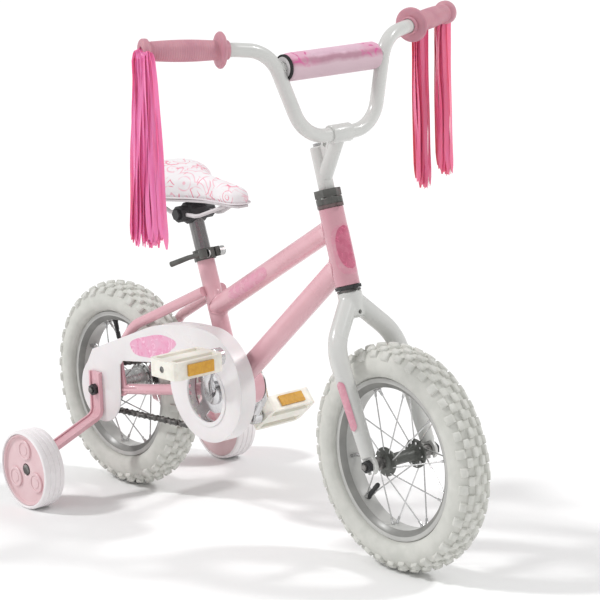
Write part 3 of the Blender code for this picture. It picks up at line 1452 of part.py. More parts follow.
def make_collar(looks, parent, lever_parent):
    """Split collar round the seat tube's mouth with its quick-release bolt and lever."""
    bore = seat_tube_radius + fit
    outer = seat_tube_radius + collar_thickness
    low = collar_height_place() - collar_height / 2
    high = low + collar_height
    collar = turned("seat_collar", [(bore, low), (outer, low), (outer, high), (bore, high)], 16, axis="Z")
    reach = outer + collar_ear_reach
    ears = plate("ears", [(bore + weld, -collar_ear_half), (reach, -collar_ear_half),
                          (reach, collar_ear_half),
                          (bore + weld, collar_ear_half)], [], low + weld, high - weld, "Z")
    half = collar_slot / 2
    slot = plate("slot", [(bore - weld, -half), (reach + weld, -half), (reach + weld, half),
                          (bore - weld, half)], [],
                 low - weld, high + weld, "Z")
    bolt_x, bolt_z = reach - collar_ear_reach / 2, collar_height_place()
    hole = rod("hole", skewer_radius + fit, -collar_ear_half - weld, collar_ear_half + weld, 10, "Y",
               bolt_x, bolt_z)
    union(collar, ears)
    subtract(collar, slot, hole)
    finish(moved(collar, seat_frame), looks["black_plastic"], parent)
    ear = collar_ear_half + fit
    washer_end = ear + skewer_washer_height
    bolt = rod("qr_bolt", skewer_radius, -washer_end + weld / 2, ear + skewer_nut_length, 10, "Y", bolt_x,
               bolt_z)
    washer = rod("washer", skewer_washer_radius, -washer_end, -ear, 14, "Y", bolt_x, bolt_z)
    nut = rod("nut", skewer_nut_radius, ear, ear + skewer_nut_length, 12, "Y", bolt_x, bolt_z)
    finish(moved(union(bolt, washer, nut), seat_frame), looks["steel"], parent)
    cam = rod("qr_lever", lever_cam_radius, -lever_cam_half, lever_cam_half, 14, "Z")
    back = Vector((-math.cos(lever_splay), -math.sin(lever_splay), 0))
    elbow = back * lever_length * 0.45
    tip = elbow + Vector((-1, -0.42, -0.10)).normalized() * lever_length * 0.60
    path = rounded_path([back * lever_cam_radius * 0.3, elbow, tip], [0.03], 3)
    arm = sweep("arm", path, (lever_radius * 0.8, lever_radius), 10)
    finish(union(cam, arm), looks["black_plastic"], lever_parent)


def lever_place():
    reach = seat_tube_radius + collar_thickness + collar_ear_reach / 2
    side = collar_ear_half + skewer_washer_height + 2 * fit + lever_cam_radius
    return seat_frame @ Matrix.Translation((reach, -side, collar_height_place()))


# Training wheels
def foot_inner():
    """Inner face of the bracket's foot, from the middle of the bicycle."""
    return trainer_outer - trainer_width - trainer_hub_stand - fit - bracket_thickness


def make_bracket(side, looks, parent):
    """Ribbed steel strip from the rear axle down and out to the training wheel."""
    label = "left" if side > 0 else "right"
    start = bracket_inner[side] + bracket_thickness / 2
    foot = foot_inner() + bracket_thickness / 2
    axle_z = rear_axle.z
    knee_z = axle_z - bracket_drop
    low_z = knee_z - (foot - start) * math.tan(bracket_slope)
    corners = [Vector((0, side * start, axle_z + bracket_top)), Vector((0, side * start, knee_z)),
               Vector((0, side * foot, low_z)), Vector((0, side * foot, trainer_radius - bracket_foot))]
    path = rounded_path(corners, [bracket_bend, bracket_bend], 2)
    wide, thick = bracket_width / 2, bracket_thickness / 2
    rib_in, rib_out = wide - bracket_rib_width, thick + bracket_rib_height
    section = [(-wide, -thick), (wide, -thick), (wide, rib_out), (rib_in, rib_out), (rib_in, thick),
               (-rib_in, thick), (-rib_in, rib_out), (-wide, rib_out)]
    section = [(a, -side * b) for a, b in section]
    name = "trainer_bracket_" + label
    bracket = profile_sweep(name, path, section, Vector((1, 0, 0)))
    reach = sorted((side * (start - thick - weld), side * (start + rib_out + weld)))
    hole = rod("hole", axle_radius + 2 * fit, reach[0], reach[1], 8, "Y", rear_axle.x, rear_axle.z)
    reach = sorted((side * (foot - thick - weld), side * (foot + rib_out + weld)))
    bolt_hole = rod("bolt_hole", trainer_bolt_radius + 2 * fit, reach[0], reach[1], 8, "Y", rear_axle.x,
                    trainer_radius)
    seat_low, seat_high = sorted((side * (foot + thick), side * (foot + rib_out + weld)))
    boss_seat = rod("seat", trainer_hub_radius + fit * 4, seat_low, seat_high, 12, "Y", rear_axle.x,
                    trainer_radius)
    subtract(bracket, hole, bolt_hole, boss_seat)
    finish(bracket, looks["pink_paint"], parent)


def make_trainer_wheel(side, looks, wheel_parent, frame_parent):
    label = "left" if side > 0 else "right"
    flat = math.cos(math.pi / trainer_sides)
    tread_bore = trainer_radius - trainer_tread
    inner = trainer_outer - trainer_width
    crown = 0.0040
    profile = [(tread_bore, inner), (trainer_radius / flat - 0.0020, inner),
               (trainer_radius / flat, inner + crown),
               (trainer_radius / flat, trainer_outer - crown),
               (trainer_radius / flat - 0.0020, trainer_outer),
               (tread_bore, trainer_outer)]
    profile = [(r, side * y) for r, y in profile]
    tyre = turned("trainer_tyre_" + label, profile, trainer_sides, phase=math.pi / trainer_sides)
    finish(tyre, looks["white_paint"], wheel_parent)
    bore = trainer_bolt_radius + bearing_clearance
    rim = tread_bore * flat - fit
    face = trainer_outer - trainer_face_depth
    seat = trainer_bolt_head_radius + 4 * fit
    head_seat = face - trainer_bolt_head_height
    profile = [(bore, inner - trainer_hub_stand), (trainer_hub_radius, inner - trainer_hub_stand),
               (trainer_hub_radius * 1.3, inner + trainer_rim_inset), (rim, inner + trainer_rim_inset),
               (rim, trainer_outer - trainer_rim_inset), (rim - trainer_rim_wall, face), (seat, face),
               (seat, head_seat), (bore, head_seat)]
    hub = turned("trainer_hub_" + label, [(r, side * y) for r, y in profile], trainer_sides)
    for k in range(3):
        turn = math.tau * k / 3 + math.pi / 2
        x, z = trainer_lobe_offset * math.cos(turn), trainer_lobe_offset * math.sin(turn)
        low, high = sorted((side * (face - weld), side * (face + trainer_lobe_height)))
        union(hub, plate("lobe", circle(trainer_lobe_radius, 10, x, z), [], low, high))
    finish(hub, looks["trainer_plastic"], wheel_parent)
    foot = foot_inner()
    head_low = head_seat + fit
    head_high = head_low + trainer_bolt_head_height
    nut_low, nut_high = foot - fit - trainer_nut_height, foot - fit
    tail = nut_low - axle_overhang
    profile = [(0, tail), (trainer_bolt_radius, tail), (trainer_bolt_radius, nut_low),
               (trainer_bolt_head_radius, nut_low), (trainer_bolt_head_radius, nut_high),
               (trainer_bolt_radius, nut_high), (trainer_bolt_radius, head_low),
               (trainer_bolt_head_radius, head_low), (trainer_bolt_head_radius, head_high), (0, head_high)]
    bolt = turned("trainer_bolt_" + label, [(r, side * y) for r, y in profile], 8, ring=False)
    finish(bolt, looks["dark_steel"], frame_parent)


def build():
    clear_scene()
    looks = make_looks()
    bicycle = pivot("bicycle", None, Matrix.Translation((-wheelbase / 2, 0, 0)))
    steering = pivot("steering", bicycle, steering_frame)
    upright = steer_turn.inverted()
    front_place = Matrix.Translation((fork_rake, 0, -fork_length)) @ upright
    front_axle_pivot = pivot("front_axle_pivot", steering, front_place)
    front_wheel = pivot("front_wheel_pivot", front_axle_pivot, Matrix())
    rear_axle_pivot = pivot("rear_axle_pivot", bicycle, Matrix.Translation(rear_axle))
    rear_wheel = pivot("rear_wheel_pivot", rear_axle_pivot, Matrix())
    driver = pivot("driver_pivot", rear_axle_pivot, Matrix())
    crank_place = Matrix.Translation(bottom_bracket) @ Matrix.Rotation(-crank_angle, 4, "Y")
    crank = pivot("crank_pivot", bicycle, crank_place)
    seat = pivot("seat_slide", bicycle, Matrix())

    make_frame(looks, bicycle)
    make_fork(looks, steering)
    make_headset(looks, bicycle, steering)
    make_handlebar(looks, steering)
    make_pad(looks, steering)
    for side, label in ((-1, "right"), (1, "left")):
        make_grip("grip_" + label, side, looks, steering)
        make_streamer("streamer_" + label, side, streamer_strands[label], looks, steering)
    wheel_pieces("front", looks, front_wheel, front_axle_pivot)
    wheel_pieces("rear", looks, rear_wheel, rear_axle_pivot)
    make_brake_arm(looks, bicycle)

    pins, ring_phase, cog_phase = chain_pins()
    make_chain(pins, looks, bicycle)
    make_chainring(ring_phase, looks, crank)
    make_sprocket(cog_phase, looks, driver)
    make_crank(looks, crank)
    for side, label in ((-1, "right"), (1, "left")):
        make_bb_cup("bb_cup_" + label, side, looks, bicycle)
        eye = Matrix.Translation((-side * crank_length, side * crank_spread, 0))
        tilt = crank_angle - (left_pedal_tilt if side > 0 else 0)
        pedal = pivot("pedal_pivot_" + label, crank, eye @ Matrix.Rotation(tilt, 4, "Y"))
        axle_pivot = pivot("pedal_axle_pivot_" + label, crank, eye)
        make_pedal(side, looks, axle_pivot, pedal)
    make_guard(looks, bicycle)

    make_saddle(looks, seat)
    make_saddle_pan(looks, seat)
    make_clamp_and_post(looks, seat)
    lever = pivot("lever_pivot", bicycle, lever_place())
    make_collar(looks, bicycle, lever)

    for side, label in ((-1, "right"), (1, "left")):
        make_bracket(side, looks, bicycle)
        trainer_axle = pivot("trainer_axle_pivot_" + label, bicycle,
                             Matrix.Translation((rear_axle.x, 0, trainer_radius)))
        trainer_wheel = pivot("trainer_wheel_pivot_" + label, trainer_axle, Matrix())
        make_trainer_wheel(side, looks, trainer_wheel, trainer_axle)


build()
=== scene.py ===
# The looks of a small bicycle with training wheels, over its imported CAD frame.
import json
import math

import bmesh
import bpy
from mathutils import Matrix, Vector


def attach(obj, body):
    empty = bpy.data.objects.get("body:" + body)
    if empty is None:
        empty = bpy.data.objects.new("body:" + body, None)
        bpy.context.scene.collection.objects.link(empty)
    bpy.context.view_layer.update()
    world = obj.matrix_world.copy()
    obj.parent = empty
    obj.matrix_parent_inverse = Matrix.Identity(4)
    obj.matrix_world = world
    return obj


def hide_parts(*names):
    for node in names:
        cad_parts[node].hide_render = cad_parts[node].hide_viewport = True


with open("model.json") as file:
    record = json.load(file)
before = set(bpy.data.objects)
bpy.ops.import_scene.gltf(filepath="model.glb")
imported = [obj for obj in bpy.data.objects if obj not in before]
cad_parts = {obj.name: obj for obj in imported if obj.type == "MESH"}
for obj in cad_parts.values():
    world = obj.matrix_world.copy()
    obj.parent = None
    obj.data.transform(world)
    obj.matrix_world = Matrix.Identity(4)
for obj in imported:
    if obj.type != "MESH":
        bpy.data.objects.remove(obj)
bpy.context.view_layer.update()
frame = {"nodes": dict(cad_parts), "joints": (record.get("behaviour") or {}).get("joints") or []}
nodes = frame["nodes"]
hingePlaces = {joint["name"]: Vector(joint["pos_m"])
               for joint in frame["joints"] if joint["type"] == "hinge"}
scene = bpy.context.scene

# Lengths are in metres and turns in radians; these sizes place the pieces, so they come first
gap = 0.0003
wheelSizes = {"base": 0.6100, "radius": 0.1560, "axle": 0.0045, "cone": 0.0085}
headSizes = {"angle": math.radians(74), "length": 0.1065, "radius": 0.0170, "wall": 0.0019,
             "crownRace": 0.0035, "cup": 0.0047, "topRace": 0.0105, "locknut": 0.0095}
forkSizes = {"rake": 0.0315, "length": 0.2300, "legOffset": 0.0535, "knee": (0.0110, 0, -0.0680),
             "bend": 0.0650, "leg": (0.0132, 0.0132, 0.0130, 0.0115, 0.0100), "steerer": 0.0127,
             "steererBore": 0.0112, "tab": (0.0510, 0.0560)}
seatSizes = {"angle": math.radians(72), "tube": 0.2030, "post": 0.0112, "tubeWall": 0.0015,
             "exposed": 0.0560}

frontAxle = Vector((wheelSizes["base"] / 2, 0, wheelSizes["radius"]))
rearAxle = Vector((-wheelSizes["base"] / 2, 0, wheelSizes["radius"]))
shellPlace = hingePlaces["crank_spin"] * Vector((1, 0, 1))
steerTurn = Matrix.Rotation(headSizes["angle"] - math.pi / 2, 4, "Y")
forkFoot = Vector((forkSizes["rake"], 0, -forkSizes["length"]))
steering = Matrix.Translation(frontAxle - steerTurn @ forkFoot) @ steerTurn
upright = steering @ Matrix.Rotation(math.pi / 2, 4, "X")
seatFrame = Matrix.Translation(shellPlace) @ Matrix.Rotation(seatSizes["angle"] - math.pi / 2, 4, "Y")
headBase = headSizes["crownRace"] + headSizes["cup"] + 2 * gap
headTop = headBase + headSizes["length"]
headsetTop = headTop + headSizes["cup"] + 2 * gap + headSizes["topRace"] + headSizes["locknut"]
sideways = Vector((0, 1, 0))

# As measured from the photograph
cameraSettings = {"place": (2.6888, -2.1557, 1.0836), "turns": (140.1314, -12.4326, -2.1144),
                  "lens": 150.36, "sensor": 36}


def makeCamera():
    yaw, pitch, roll = (math.radians(a) for a in cameraSettings["turns"])
    ahead = Vector((math.cos(pitch) * math.cos(yaw), math.cos(pitch) * math.sin(yaw), math.sin(pitch)))
    level = ahead.cross(Vector((0, 0, 1))).normalized()
    rise = level.cross(ahead)
    right = level * math.cos(roll) + rise * math.sin(roll)
    up = rise * math.cos(roll) - level * math.sin(roll)
    camera = bpy.data.objects.new("Camera", bpy.data.cameras.new("Camera"))
    camera.data.lens = cameraSettings["lens"]
    camera.data.sensor_width = cameraSettings["sensor"]
    camera.data.clip_end = 100
    turn = Matrix((right, up, -ahead)).transposed().to_4x4()
    camera.matrix_world = Matrix.Translation(cameraSettings["place"]) @ turn
    scene.collection.objects.link(camera)
    scene.camera = camera


# Outlines and paths
def circle(radius, count, x=0.0, z=0.0):
    turns = [math.tau * k / count for k in range(count)]
    return [(x + radius * math.cos(t), z + radius * math.sin(t)) for t in turns]


def arc(radius, start, stop, steps, x=0.0, z=0.0):
    turns = [start + (stop - start) * k / steps for k in range(steps + 1)]
    return [(x + radius * math.cos(t), z + radius * math.sin(t)) for t in turns]


def hull(points):
    # The convex outline round the points
    ordered = sorted(set(points))

    def half(sequence):
        chain = []
        for p in sequence:
            while len(chain) > 1:
                (ax, az), (bx, bz) = chain[-2], chain[-1]
                if (bx - ax) * (p[1] - az) - (bz - az) * (p[0] - ax) > 1e-12:
                    break
                chain.pop()
            chain.append(p)
        return chain[:-1]

    return half(ordered) + half(ordered[::-1])


def insetOutline(outline, distance):
    moved = []
    last = len(outline) - 1
    for k, (x, z) in enumerate(outline):
        ax, az = outline[max(k - 1, 0)]
        bx, bz = outline[min(k + 1, last)]
        length = math.hypot(bx - ax, bz - az)
        moved.append((x - (bz - az) / length * distance, z + (bx - ax) / length * distance))
    return moved


def slotOutline(x, z, half, run, opening):
    # A round-ended slot at x, z whose other end opens downwards or backwards
    if opening == "down":
        return [(x - half, z - run), (x + half, z - run)] + arc(half, 0, math.pi, 16, x, z)
    return [(x - run, z + half), (x - run, z - half)] + arc(half, -math.pi / 2, math.pi / 2, 16, x, z)


def rod(radius, low, high, chamfer=0.0):
    # Profile of a solid rod along Y
    if not chamfer:
        return [(0, low), (radius, low), (radius, high), (0, high)]
    return [(0, low), (radius - chamfer, low), (radius, low + chamfer), (radius, high - chamfer),
            (radius - chamfer, high), (0, high)]


def mirroredProfile(side):
    return side + [(r, -y) for r, y in reversed(side)]


def roundedPath(corners, radii, steps):
    points = [Vector(corners[0])]
    for k in range(1, len(corners) - 1):
        corner = Vector(corners[k])
        back = (Vector(corners[k - 1]) - corner).normalized()
        ahead = (Vector(corners[k + 1]) - corner).normalized()
        half = back.angle(ahead) / 2
        radius = radii[k - 1]
        centre = corner + (back + ahead).normalized() * radius / math.sin(half)
        start = corner + back * radius / math.tan(half) - centre
        stop = corner + ahead * radius / math.tan(half) - centre
        for step in range(steps + 1):
            points.append(centre + start.slerp(stop, step / steps).normalized() * start.length)
    points.append(Vector(corners[-1]))
    return points


def spacedPath(start, stop, step):
    count = max(1, round((stop - start).length / step))
    return [start.lerp(stop, k / count) for k in range(count + 1)]


def runLengths(points):
    lengths = [0.0]
    for a, b in zip(points, points[1:]):
        lengths.append(lengths[-1] + (b - a).length)
    return lengths


def aimed(way):
    # Turns Y to the way given
    return sideways.rotation_difference(way).to_matrix().to_4x4()


# Shape helpers: each adds a closed shell to a bmesh
def loftInto(bm, rings, closed=False):
    rows = [[bm.verts.new(p) for p in ring] for ring in rings]
    pairs = list(zip(rows, rows[1:]))
    if closed:
        pairs.append((rows[-1], rows[0]))
    for row, following in pairs:
        for k in range(len(row)):
            j = (k + 1) % len(row)
            bm.faces.new((row[k], row[j], following[j], following[k]))
    if not closed:
        bm.faces.new(rows[0][::-1])
        bm.faces.new(rows[-1])


def framesAlong(points, across):
    frames = []
    for k, point in enumerate(points):
        before = points[max(k - 1, 0)]
        after = points[min(k + 1, len(points) - 1)]
        tangent = (after - before).normalized()
        first = (across - tangent * across.dot(tangent)).normalized()
        frames.append((point, first, tangent.cross(first)))
    return frames


def sweepInto(bm, points, radii, sides, across, place=Matrix()):
    # A round bar along the points, whose radius runs through the radii
    lengths = runLengths(points)
    turns = [math.tau * (k + 0.5) / sides for k in range(sides)]
    rings = []
    for (point, u, v), length in zip(framesAlong(points, across), lengths):
        share = length / lengths[-1] * (len(radii) - 1)
        before = min(int(share), len(radii) - 2)
        radius = radii[before] + (radii[before + 1] - radii[before]) * (share - before)
        rings.append([place @ (point + u * radius * math.cos(t) + v * radius * math.sin(t))
                      for t in turns])
    loftInto(bm, rings)


def closedSweepInto(bm, points, radius):
    rings = []
    count, sides = len(points), 10
    up = Vector((0, 0, 1))
    turns = [math.tau * s / sides for s in range(sides)]
    for k, point in enumerate(points):
        tangent = (points[(k + 1) % count] - points[k - 1]).normalized()
        across = tangent.cross(up).normalized()
        rings.append([point + up * radius * math.sin(t) + across * radius * math.cos(t) for t in turns])
    loftInto(bm, rings, closed=True)


def turnInto(bm, profile, segments, place):
    # Turns a profile of (radius, place along Y) round Y; one that starts off the axis is a closed ring
    rows = []
    for radius, along in profile:
        outline = circle(radius, segments) if radius > 1e-6 else [(0, 0)]
        rows.append([bm.verts.new(place @ Vector((x, along, z))) for x, z in outline])
    pairs = list(zip(rows, rows[1:]))
    if profile[0][0] > 0:
        pairs.append((rows[-1], rows[0]))
    for a, b in pairs:
        if len(a) == len(b) == 1:
            continue
        for k in range(segments):
            j = (k + 1) % segments
            corners = [a[k % len(a)], a[j % len(a)], b[j % len(b)], b[k % len(b)]]
            bm.faces.new(list(dict.fromkeys(corners)))


def plateInto(bm, outline, holes, low, high, place=Matrix()):
    # A flat piece in the XZ plane of place, with its thickness along Y
    edges = []
    for loop in [outline] + list(holes):
        verts = [bm.verts.new(place @ Vector((a, low, b))) for a, b in loop]
        edges += [bm.edges.new(pair) for pair in zip(verts, verts[1:] + verts[:1])]
    if holes:
        made = bmesh.ops.triangle_fill(bm, use_beauty=True, use_dissolve=False, edges=edges)["geom"]
        faces = [part for part in made if isinstance(part, bmesh.types.BMFace)]
    else:
        faces = [bm.faces.new(verts)]
    grown = bmesh.ops.extrude_face_region(bm, geom=faces, use_keep_orig=True)["geom"]
    raised = [part for part in grown if isinstance(part, bmesh.types.BMVert)]
    bmesh.ops.translate(bm, verts=raised, vec=place.to_3x3() @ Vector((0, high - low, 0)))


def beadInto(bm, start, along, radius, axisPlace, axisWay, axisRadius, bead=0.0017):
    # A weld bead where a tube leaves a wider round tube
    first = along.orthogonal().normalized()
    second = along.cross(first)
    rings = []
    for k in range(40):
        turn = math.tau * k / 40
        radial = first * math.cos(turn) + second * math.sin(turn)
        point = start + radial * radius
        offset = point - axisPlace
        offset -= axisWay * offset.dot(axisWay)
        way = along - axisWay * along.dot(axisWay)
        a, b, c = way.dot(way), 2 * offset.dot(way), offset.dot(offset) - axisRadius ** 2
        reach = (-b + math.sqrt(max(0.0, b * b - 4 * a * c))) / (2 * a)
        centre = point + along * reach
        size = bead * (1 + 0.14 * math.sin(turn * 20))
        rings.append([centre + radial * size * math.cos(t) + along * size * math.sin(t)
                      for t in [math.tau * s / 8 for s in range(8)]])
    loftInto(bm, rings, closed=True)


# Pieces: finishes are names of looks
def shaded(item, sharp):
    item.data.shade_smooth()
    item.data.set_sharp_from_angle(angle=math.radians(sharp))
    return item


def makePiece(name, bm, finishes=(), sharp=40):
    bmesh.ops.recalc_face_normals(bm, faces=bm.faces)
    mesh = bpy.data.meshes.new(name)
    bm.to_mesh(mesh)
    bm.free()
    item = bpy.data.objects.new(name, mesh)
    scene.collection.objects.link(item)
    for finish in finishes:
        mesh.materials.append(looks[finish])
    return shaded(item, sharp)


def turned(name, finishes, profile, segments, place, sharp=40):
    bm = bmesh.new()
    turnInto(bm, profile, segments, place)
    return makePiece(name, bm, finishes, sharp)


def swept(name, finishes, points, radii, sides, across=Vector((0, 0, 1)), place=Matrix()):
    bm = bmesh.new()
    sweepInto(bm, points, radii, sides, across, place)
    return makePiece(name, bm, finishes)


def plated(name, finishes, outline, low, high, place=Matrix(), holes=(), sharp=40):
    bm = bmesh.new()
    plateInto(bm, outline, holes, low, high, place)
    return makePiece(name, bm, finishes, sharp)


def joined(name, pieces):
    # One mesh of several pieces, with their materials
    bm = bmesh.new()
    found = []
    for piece in pieces:
        own = [slot.material for slot in piece.material_slots]
        found += [look for look in own if look not in found]
        count = len(bm.faces)
        bm.from_mesh(piece.data)
        bm.faces.ensure_lookup_table()
        for face in bm.faces[count:]:
            face.material_index = found.index(own[face.material_index])
        bpy.data.objects.remove(piece)
    item = makePiece(name, bm)
    for look in found:
        item.data.materials.append(look)
    return item


def applied(item):
    graph = bpy.context.evaluated_depsgraph_get()
    mesh = bpy.data.meshes.new_from_object(item.evaluated_get(graph))
    item.modifiers.clear()
    item.data = mesh
    return item


def addBevel(item, width, segments, angle):
    bevel = item.modifiers.new("Bevel", "BEVEL")
    bevel.width = width
    bevel.segments = segments
    bevel.limit_method = "ANGLE"
    bevel.angle_limit = math.radians(angle)
    bevel.harden_normals = True


def bevelled(item, width, segments=2, angle=35):
    addBevel(item, width, segments, angle)
    return applied(item)


def combined(target, tools, operation):
    for tool in tools:
        change = target.modifiers.new("Boolean", "BOOLEAN")
        change.operation = operation
        change.object = tool
        applied(target)
        bpy.data.objects.remove(tool)
    return target


def remeshed(item, voxel, smooth):
    remesh = item.modifiers.new("Remesh", "REMESH")
    remesh.voxel_size = voxel
    remesh.use_smooth_shade = True
    relax = item.modifiers.new("Smooth", "SMOOTH")
    relax.iterations = smooth
    return applied(item)


def evenShading(item):
    # Large faces lead, so that cuts leave no streaks in the shading
    shaded(item, 35)
    weights = item.modifiers.new("Weights", "WEIGHTED_NORMAL")
    weights.keep_sharp = True
    weights.weight = 80
    return applied(item)


def dressed(item, body, slot, *replaced):
    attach(item, body)
    if replaced:
        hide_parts(*replaced)
    return item


def capped(points, before, limit):
    for point, old in zip(points, before):
        change = point.co - old
        if change.length > limit:
            point.co = old + change.normalized() * limit


def puffed(item, voxel, limit):
    # Pressure pushes the sewn cover out, but no further than the limit
    remesh = item.modifiers.new("Remesh", "REMESH")
    remesh.voxel_size = voxel
    applied(item)
    before = [vert.co.copy() for vert in item.data.vertices]
    cloth = item.modifiers.new("Cloth", "CLOTH")
    cloth.settings.use_pressure = True
    cloth.settings.uniform_pressure_force = 4.0
    cloth.settings.effector_weights.gravity = 0.0
    for number in range(1, 21):
        scene.frame_set(number)
    applied(item)
    capped(item.data.vertices, before, limit)
    scene.frame_set(1)
    smooth = item.modifiers.new("Smooth", "SMOOTH")
    smooth.iterations = 3
    division = item.modifiers.new("Subdivision", "SUBSURF")
    division.levels = 1
    division.render_levels = 1
    applied(item)
    item.data.shade_smooth()
    return item


def shellPatch(name, start, stop, radii, turns, finish, ends=0.12, rise=0.00025):
    # A thin curved patch on a tube, rounded at its ends; turns are in degrees from +X
    along = (stop - start).normalized()
    ahead = (Vector((1, 0, 0)) - along * along.x).normalized()
    steps, columns = 28, 14
    rows = []
    for i in range(steps + 1):
        share = i / steps
        near = min(share, 1 - share) / ends
        narrow = math.sqrt(max(0.0, 1 - (1 - min(1.0, near)) ** 2)) * 0.97 + 0.03
        centre = start.lerp(stop, share)
        radius = radii[0] + (radii[1] - radii[0]) * share
        middle, spread = (turns[0] + turns[1]) / 2, (turns[1] - turns[0]) / 2 * narrow
        ring = []
        for r, order in ((radius + rise, 1), (radius - 0.0002, -1)):
            shares = [order * (2 * j / columns - 1) for j in range(columns + 1)]
            angles = [math.radians(middle + spread * s) for s in shares]
            ring += [centre + ahead * r * math.cos(t) + sideways * r * math.sin(t) for t in angles]
        rows.append(ring)
    bm = bmesh.new()
    loftInto(bm, rows)
    return makePiece(name, bm, [finish], 60)


# Geometry Nodes: copies of one piece on a set of points, each turned its own way
def makeRepeatGroup():
    group = bpy.data.node_groups.new("RepeatOnPoints", "GeometryNodeTree")
    for name, kind in (("Points", "Geometry"), ("Piece", "Object"), ("Finish", "Material"),
                       ("Smallest", "Float"), ("Seed", "Int")):
        group.interface.new_socket(name, in_out="INPUT", socket_type="NodeSocket" + kind)
    group.interface.new_socket("Geometry", in_out="OUTPUT", socket_type="NodeSocketGeometry")
    new, link = group.nodes.new, group.links.new
    given, result = new("NodeGroupInput"), new("NodeGroupOutput")
    piece = new("GeometryNodeObjectInfo")
    turn = new("GeometryNodeInputNamedAttribute")
    turn.data_type = "FLOAT_VECTOR"
    turn.inputs["Name"].default_value = "turn"
    toRotation = new("FunctionNodeEulerToRotation")
    size = new("FunctionNodeRandomValue")  # sockets 2, 3 and output 1 are the float ones
    copies = new("GeometryNodeInstanceOnPoints")
    real = new("GeometryNodeRealizeInstances")
    finish = new("GeometryNodeSetMaterial")
    link(given.outputs["Piece"], piece.inputs["Object"])
    link(turn.outputs["Attribute"], toRotation.inputs["Euler"])
    link(given.outputs["Smallest"], size.inputs[2])
    size.inputs[3].default_value = 1.0
    link(given.outputs["Seed"], size.inputs["Seed"])
    link(given.outputs["Points"], copies.inputs["Points"])
    link(piece.outputs["Geometry"], copies.inputs["Instance"])
    link(toRotation.outputs["Rotation"], copies.inputs["Rotation"])
    link(size.outputs[1], copies.inputs["Scale"])
    link(copies.outputs["Instances"], real.inputs["Geometry"])
    link(real.outputs["Geometry"], finish.inputs["Geometry"])
    link(given.outputs["Finish"], finish.inputs["Material"])
    link(finish.outputs["Geometry"], result.inputs["Geometry"])
    return group


def repeated(name, seed, places, finish, smallest=1.0):
    mesh = bpy.data.meshes.new(name)
    mesh.from_pydata([place.translation for place in places], [], [])
    turns = mesh.attributes.new("turn", "FLOAT_VECTOR", "POINT")
    for k, place in enumerate(places):
        turns.data[k].vector = place.to_euler("XYZ")
    item = bpy.data.objects.new(name, mesh)
    scene.collection.objects.link(item)
    modifier = item.modifiers.new("Repeat", "NODES")
    modifier.node_group = repeatGroup
    values = {"Piece": seed, "Finish": looks[finish], "Smallest": smallest, "Seed": 7}
    for socket in repeatGroup.interface.items_tree:
        if socket.name in values:
            modifier[socket.identifier] = values[socket.name]
    applied(item)
    bpy.data.objects.remove(seed)
    item.data.set_sharp_from_angle(angle=math.radians(40))
    return item


# Shader groups: each puts out a mask or a normal
def shaderGroup(name, given, made):
    group = bpy.data.node_groups.new(name, "ShaderNodeTree")
    for socket, kind in given:
        group.interface.new_socket(socket, in_out="INPUT", socket_type="NodeSocket" + kind)
    for socket, kind in made:
        group.interface.new_socket(socket, in_out="OUTPUT", socket_type="NodeSocket" + kind)
    return group, group.nodes.new("NodeGroupInput"), group.nodes.new("NodeGroupOutput")


def noiseInto(group, vector, scale, detail):
    noise = group.nodes.new("ShaderNodeTexNoise")
    noise.inputs["Detail"].default_value = detail
    group.links.new(vector, noise.inputs["Vector"])
    group.links.new(scale, noise.inputs["Scale"])
    return noise.outputs["Fac"]


def rangeInto(group, value, low, high, toLow=0.0, toHigh=1.0):
    ranged = group.nodes.new("ShaderNodeMapRange")
    for name, number in (("From Min", low), ("From Max", high), ("To Min", toLow), ("To Max", toHigh)):
        ranged.inputs[name].default_value = number
    group.links.new(value, ranged.inputs["Value"])
    return ranged.outputs["Result"]


def mathInto(group, operation, a, b):
    node = group.nodes.new("ShaderNodeMath")
    node.operation = operation
    for k, value in enumerate((a, b)):
        if isinstance(value, (int, float)):
            node.inputs[k].default_value = value
        else:
            group.links.new(value, node.inputs[k])
    return node.outputs["Value"]


def makeMottle():
    group, given, result = shaderGroup("Mottle", [("Vector", "Vector"), ("Scale", "Float")],
                                       [("Mask", "Float")])
    noise = noiseInto(group, given.outputs["Vector"], given.outputs["Scale"], 4.0)
    group.links.new(rangeInto(group, noise, 0.35, 0.65), result.inputs["Mask"])
    return group


def makeGrain():
    group, given, result = shaderGroup("Grain", [("Vector", "Vector"), ("Scale", "Float"),
                                                 ("Height", "Float")], [("Normal", "Vector")])
    noise = noiseInto(group, given.outputs["Vector"], given.outputs["Scale"], 2.0)
    bump = group.nodes.new("ShaderNodeBump")
    group.links.new(noise, bump.inputs["Height"])
    group.links.new(given.outputs["Height"], bump.inputs["Distance"])
    group.links.new(bump.outputs["Normal"], result.inputs["Normal"])
    return group


def makeWeave():
    # Threads that cross at right angles
    group, given, result = shaderGroup("Weave", [("Vector", "Vector"), ("Scale", "Float"),
                                                 ("Height", "Float")], [("Normal", "Vector")])
    waves = []
    for direction in ("X", "Z"):
        wave = group.nodes.new("ShaderNodeTexWave")
        wave.bands_direction = direction
        wave.inputs["Distortion"].default_value = 0.6
        group.links.new(given.outputs["Vector"], wave.inputs["Vector"])
        group.links.new(given.outputs["Scale"], wave.inputs["Scale"])
        waves.append(wave.outputs["Fac"])
    bump = group.nodes.new("ShaderNodeBump")
    group.links.new(mathInto(group, "MAXIMUM", *waves), bump.inputs["Height"])
    group.links.new(given.outputs["Height"], bump.inputs["Distance"])
    group.links.new(bump.outputs["Normal"], result.inputs["Normal"])
    return group


